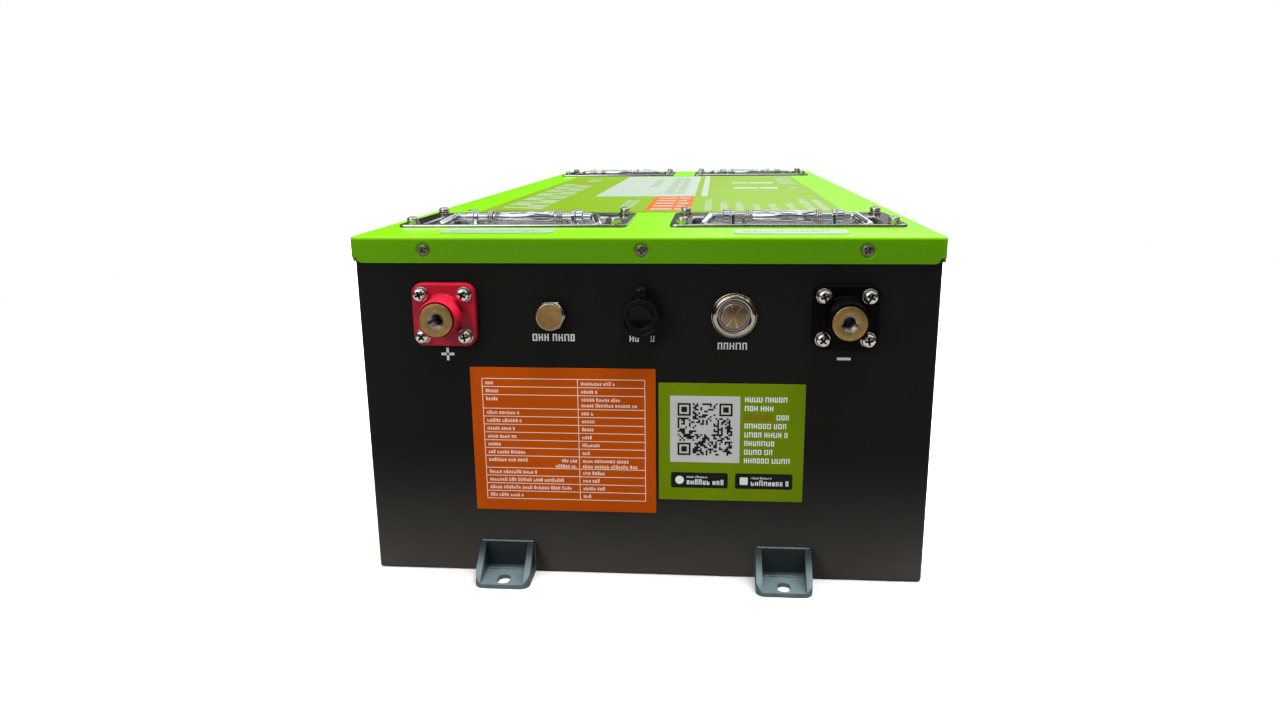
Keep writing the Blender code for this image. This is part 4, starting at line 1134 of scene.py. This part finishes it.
def build_rating_label():
    """Build the rating label: a ruled table with rows of bars for its words."""
    middle, thick, at = panel_sticker("rating_sticker", "label_rating", "orange")
    ink = Print(random.Random(11), thick - 0.02, thick + 0.03)
    left, divider, right = (x - middle.x for x in (-93.2, -37.5, 1.2))
    bottom, top = (z - middle.z for z in (47.0, 120.8))
    units = [1, 1, 1.7, 1, 1, 1, 1, 1, 1, 1.55, 1, 1, 1, 1]
    fills = [0.10, 0.15, 0.14, 0.38, 0.40, 0.31, 0.34, 0.16, 0.42, 0.44, 0.55, 0.84, 0.92, 0.37]
    notes = [0.55, 0.29, 0.66, 0.19, 0.21, 0.19, 0.21, 0.28, 0.14, 0.78, 0.38, 0.28, 0.36, 0.15]
    unit = (top - bottom) / sum(units)
    line = 0.2
    tall = 2.1
    center = (left + right) / 2.0
    half = (right - left) / 2.0
    ink.tile(center, top, half + line, line)
    for x in (left, right, divider):
        ink.tile(x, (top + bottom) / 2.0, line, (top - bottom) / 2.0)
    first_room = divider - left - 3.0
    last_room = right - divider - 3.0
    z = top
    for rows, fill, note in zip(units, fills, notes):
        base = z - unit + 1.35
        under = base - unit * 0.7
        ink.bars(left + 2.0, base, first_room * fill, tall)
        ink.bars(divider + 2.0, base, last_room * note, tall)
        if rows > 1:
            ink.bars(divider + 2.0, under, last_room * 0.9, tall)
        if rows > 1 and fill > 0.4:
            for row, wide in ((base, 9.0), (under, 12.5)):
                ink.bars(divider - 1.5 - wide, row, wide, tall)
        z -= rows * unit
        ink.tile(center, z, half, line)
    ink.place("rating_print", "pale_print", at)


CODE_COUNT = 29


def add_code(ink, center_x, center_z, size):
    """Add a square field of chance modules with three framed corner squares."""
    unit = size / CODE_COUNT
    far = CODE_COUNT - 7

    def module(column, row):
        x = center_x - size / 2.0 + (column + 0.5) * unit
        z = center_z - size / 2.0 + (row + 0.5) * unit
        ink.tile(x, z, unit / 2.0, unit / 2.0)

    for column in range(CODE_COUNT):
        for row in range(CODE_COUNT):
            at_sides = column < 8 or column >= far - 1
            corner = (column < 8 and row < 8) or (row >= far - 1 and at_sides)
            blank = abs(column - 14) < 5 and abs(row - 14) < 3
            if not corner and not blank and ink.rng.random() < 0.5:
                module(column, row)
    for first_column, first_row in ((0, 0), (0, far), (far, far)):
        for column in range(7):
            for row in range(7):
                edge = column in (0, 6) or row in (0, 6)
                core = 2 <= column <= 4 and 2 <= row <= 4
                if edge or core:
                    module(first_column + column, first_row + row)


def build_code_label():
    """Build the olive label: chance pattern, lines of bars, two plain badges."""
    middle, thick, at = panel_sticker("code_sticker", "label_code", "olive")
    rng = random.Random(23)
    low = thick - 0.02
    high = thick + 0.03
    square = (35.6 - middle.x, 92.0 - middle.z)
    badge_z = 60.95 - middle.z
    ground = Print(rng, low, high)
    ground.shape(rounded_rectangle(20.0, 20.0, 0.5, 4, square))
    ground.place("code_ground", "code_grey", at)
    dark = Print(rng, high - 0.01, high + 0.04)
    add_code(dark, *square, 31.4)
    for x in (32.6, 69.8):
        badge = rounded_rectangle(16.5, 4.75, 1.2, 6, (x - middle.x, badge_z))
        add_prism(dark.bm, badge, low, high)
    dark.place("code_dark_print", "code_black", at)
    pale = Print(rng, low, high)
    left = 58.2 - middle.x
    tall = 3.0
    for row, part in enumerate((0.87, 0.63, 0.96, 0.91, 0.91, 0.67, 0.63, 1.0)):
        base = 108.7 - 5.24 * row - middle.z
        width = 27.6 * part
        if row == 2:
            pale.bars(left, base, width * 0.62, tall, slot=1, caps=True)
            pale.bars(left + width * 0.68, base, width * 0.32, tall, caps=True)
        else:
            pale.bars(left, base, width, tall, caps=True)
    pale.low = high - 0.01
    pale.high = high + 0.04
    for x, sign in ((21.1, circle(2.5, 28)), (58.3, rounded_rectangle(2.3, 2.3, 0.5, 4))):
        x -= middle.x
        pale.shape([(x + px, badge_z + pz) for px, pz in sign])
        pale.bars(x + 4.2, badge_z + 1.4, 12.0, 1.3, bold=1.0)
        pale.bars(x + 4.2, badge_z - 2.7, 22.0, 3.2)
    pale.place("code_pale_print", "white_print red_print", at)


def build_panel_marks():
    """Build the marks printed straight on the panel: plus, minus and bar rows."""
    ink = Print(random.Random(31), -0.02, 0.05)
    long, short = 3.75, 0.75
    ink.tile(-112.4, 135.0, long, short)
    ink.tile(-112.4, 135.0, short, long)
    ink.tile(112.4, 134.5, long, short)
    rows = [(-62.6, 143.2, 24.1, 4.1), (-7.2, 143.2, 5.4, 3.6), (4.6, 143.2, 3.3, 3.6)]
    for row in rows + [(42.4, 139.2, 18.5, 4.0)]:
        ink.bars(*row, bold=1.2, caps=True)
    ink.place("panel_print", "grey_print", (0.0, PANEL_Y, 0.0))


def build_lid_label():
    """Build the large label on the lid with its plain blocks and bar rows."""
    _, thick, at = lid_sticker("lid_sticker", "label_lid", "lid_olive", "olive_label", 1.0, 6)
    front = LID_LOW.y + at[1]
    white, orange, pale = 0, 1, 2
    over = 0.01
    ink = Print(random.Random(47), thick - 0.01, thick + 0.008)

    def block(left, near, right, far, slot=white, lift=0.0):
        ink.block(left, front + near, right, front + far, slot, lift)

    def deep_row(near, x_high, length, height, slot=white, bold=1.2, lift=0.0):
        ink.bars(front + near, x_high, length, height, slot, bold, True, True, lift)

    block(-65.0, 301.0, 22.0, 640.0)
    block(-11.0, 156.0, 22.0, 299.0, orange)
    block(27.4, 301.0, 33.0, 654.0)
    block(-110.0, 504.0, -90.0, 511.0, orange)
    block(31.0, 368.2, 116.0, 369.6)
    for row in range(5):
        near = 165.0 + 27.0 * row
        block(-7.5, near, 8.0, near + 9.0, white, over)
        block(10.0, near, 19.0 - 2.0 * (row % 2), near + 9.0, white, over)
    columns = [(37.0, 101.0), (49.0, 78.0), (60.6, 70.0), (73.0, 48.0), (85.6, 55.0), (98.6, 61.0)]
    for x_high, length in columns:
        deep_row(157.0, x_high, length, 5.0)
    deep_row(159.0, 112.0, 113.0, 5.6)
    deep_row(159.0, 122.0, 96.0, 5.6)
    for number in range(24):
        near = front + 173.0 + 12.75 * number
        bottom, top = ((0.0, 1.0), (0.0, 0.44), (0.0, 1.0), (0.56, 1.0))[number % 4]
        corners = ((bottom, 0.0), (bottom, 7.0), (top, 7.0), (top, 0.0))
        ink.shape([(-88.5 - 33.0 * up, near + along + 15.0 * up) for up, along in corners])
    deep_row(530.0, -92.0, 60.0, 12.0)
    deep_row(186.0, -22.0, 73.0, 4.4)
    deep_row(186.0, -27.6, 73.0, 4.4)
    for near, split in ((403.0, 42.6 * 0.55), (489.0, 42.6 * 0.38)):
        block(57.7, near, 57.7 + split, near + 22.0)
        block(59.7 + split, near, 100.3, near + 22.0)
    for x_high in (112.0, 117.6, 123.2):
        deep_row(480.0, x_high, 132.0, 4.4)
    deep_row(406.0, 120.0, 15.0, 7.0)
    for near, x_high, length in ((430.0, -18.0, 150.0), (330.0, 2.0, 280.0), (330.0, 12.0, 280.0)):
        deep_row(near, x_high, length, 8.0, pale, 1.5, over)
    ink.place("lid_print", "lid_white lid_orange lid_pale", at, UPRIGHT)


def build_serial_strips():
    """Build the two small strips on the lid, each with one row of bars."""
    rng = random.Random(53)
    for side in ("left", "right"):
        name = "serial_strip_" + side
        half_x, thick, at = lid_sticker(name, "label_serial_" + side, "strip", "pale_label", 5.0, 8)
        ink = Print(rng, thick - 0.01, thick + 0.01)
        ink.bars(5.0 - half_x, -4.0, 2.0 * half_x - 10.0, 8.0, bold=1.0)
        ink.place("serial_print_" + side, "strip_ink", at, UPRIGHT)


build_rating_label()
build_code_label()
build_panel_marks()
build_lid_label()
build_serial_strips()


# The nodes inside the case keep their shape and get their own materials.

INSIDE = {
    "rubber": ("lid_gasket", "base_mat"),
    "nickel": ("vent_nut", "port_nut", "button_nut"),
    "cell": ("cells_",),
    "aluminium": ("end_plate_", "control_heat_plate"),
    "board": ("top_board",),
    "black": ("control_unit",),
    "copper": ("busbar_",),
    "cable_red": ("cable_positive",),
    "cable_black": ("cable_negative",),
}
for node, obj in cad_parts.items():
    for mat, starts in INSIDE.items():
        if node.startswith(starts):
            obj.data.materials.clear()
            obj.data.materials.append(MATS[mat])


# Floor, light and camera.

def build_floor():
    """Build the matt floor: pale to the camera, dimmer in what it throws on the pack."""
    seen = 0.62
    felt = 0.14
    new = surface("floor_matt")
    cloud = new.noise(3.0)
    shades = [new.wander(cloud, (value, value, value * 0.985), 0.01) for value in (felt, seen)]
    camera_ray = new.add("LightPath").outputs["Is Camera Ray"]
    mat = new.shade({"Base Color": new.mix(camera_ray, *shades), "Roughness": 0.9, GLOSS: 0.1})
    bm = bmesh.new()
    outline = rounded_rectangle(1.10, 1.35, 0.3, 16)
    bm.faces.new([bm.verts.new(point) for point in at_level(outline, -0.0002)])
    mesh = new_mesh("floor", bm)
    mesh.materials.append(mat)
    new_object("floor", mesh)


def aim(obj, direction, axis):
    """Turn an object so that its axis points in a direction."""
    obj.rotation_mode = "QUATERNION"
    obj.rotation_quaternion = direction.to_track_quat(axis, "Y")


def area_light(name, place, target, size, power):
    """Add a soft rectangular light at a place that faces a target."""
    light = bpy.data.lights.new(name, "AREA")
    light.shape = "RECTANGLE"
    light.size, light.size_y = size
    light.energy = power
    obj = new_object(name, light)
    obj.location = place
    aim(obj, Vector(target) - Vector(place), "-Z")
    obj.visible_camera = False
    return obj


def key_light(toward, strength, wide):
    """Add the wide soft overhead light that shines from one direction."""
    light = bpy.data.lights.new("key", "SUN")
    light.energy = strength
    light.angle = math.radians(wide)
    obj = new_object("key", light)
    aim(obj, Vector(toward), "Z")
    obj.visible_glossy = False


def build_world():
    """Build a world that looks white, lights the pack dimly and gives metal something to mirror."""
    new = Nodes(bpy.data.worlds.new("studio"), "Generated")
    axes = new.axes()
    patch = new.remap(new.noise(5.5, 2.0), 0.44, 0.57, 0.04, 1.15)
    overhead = new.calc("MULTIPLY", new.remap(axes["Z"], 0.25, 0.80, 0.0, 1.6), patch)
    horizon = new.calc("MULTIPLY", new.remap(axes["X"], -0.16, 0.04), new.remap(axes["Y"], 0.2, 0.6))
    horizon = new.calc("MULTIPLY", horizon, new.remap(axes["Z"], 0.30, 0.60, 0.23, 0.0))
    toward_lamp = {0: new.place, 1: (-0.45, -0.76, 0.47)}
    lamp = new.add("VectorMath", toward_lamp, operation="DOT_PRODUCT").outputs["Value"]
    mirrored = new.calc("ADD", overhead, horizon)
    mirrored = new.calc("ADD", mirrored, new.remap(lamp, 0.90, 0.975, 0.0, 2.0))
    mirrored = new.calc("ADD", mirrored, 0.045)

    def background(strength):
        white = {"Color": (1.0, 1.0, 1.0, 1.0), "Strength": strength}
        return new.add("Background", white).outputs["Background"]

    rays = new.add("LightPath").outputs
    shader = background(0.10)
    for ray, strength in (("Is Glossy Ray", mirrored), ("Is Camera Ray", 1.0)):
        mix = {"Fac": rays[ray], 1: shader, 2: background(strength)}
        shader = new.add("MixShader", mix).outputs["Shader"]
    new.feed(new.tree.nodes["World Output"], {"Surface": shader})
    bpy.context.scene.world = new.owner


def build_camera():
    """Build the camera a little right of the middle, above the lid, tilted down."""
    cam = bpy.data.cameras.new("view")
    cam.sensor_width = 36.0
    cam.lens = 26.10
    cam.clip_start = 0.01
    forward = Vector((-0.08035, 0.96710, -0.24138)).normalized()
    right = Vector((0.99671, 0.08061, -0.00883))
    right = (right - forward * right.dot(forward)).normalized()
    turn = Matrix((right, right.cross(forward).normalized(), -forward)).transposed().to_4x4()
    obj = new_object("view", cam)
    obj.matrix_world = Matrix.Translation((0.04085, -0.90707, 0.25963)) @ turn
    bpy.context.scene.camera = obj


build_floor()
build_world()
build_camera()
key_light((0.17, 0.20, 0.95), 17.0, 60.0)
area_light("rear_fill", (0.5, 1.3, 0.9), (0.0, 0.2, 0.2), (1.2, 0.5), 2.0)
front_fill = area_light("front_fill", (-0.55, -1.1, 0.55), (-0.05, -0.4, 0.12), (0.4, 0.25), 4.5)
front_fill.visible_glossy = False
scene = bpy.context.scene
scene.view_settings.view_transform = "Standard"
scene.view_settings.look = "None"
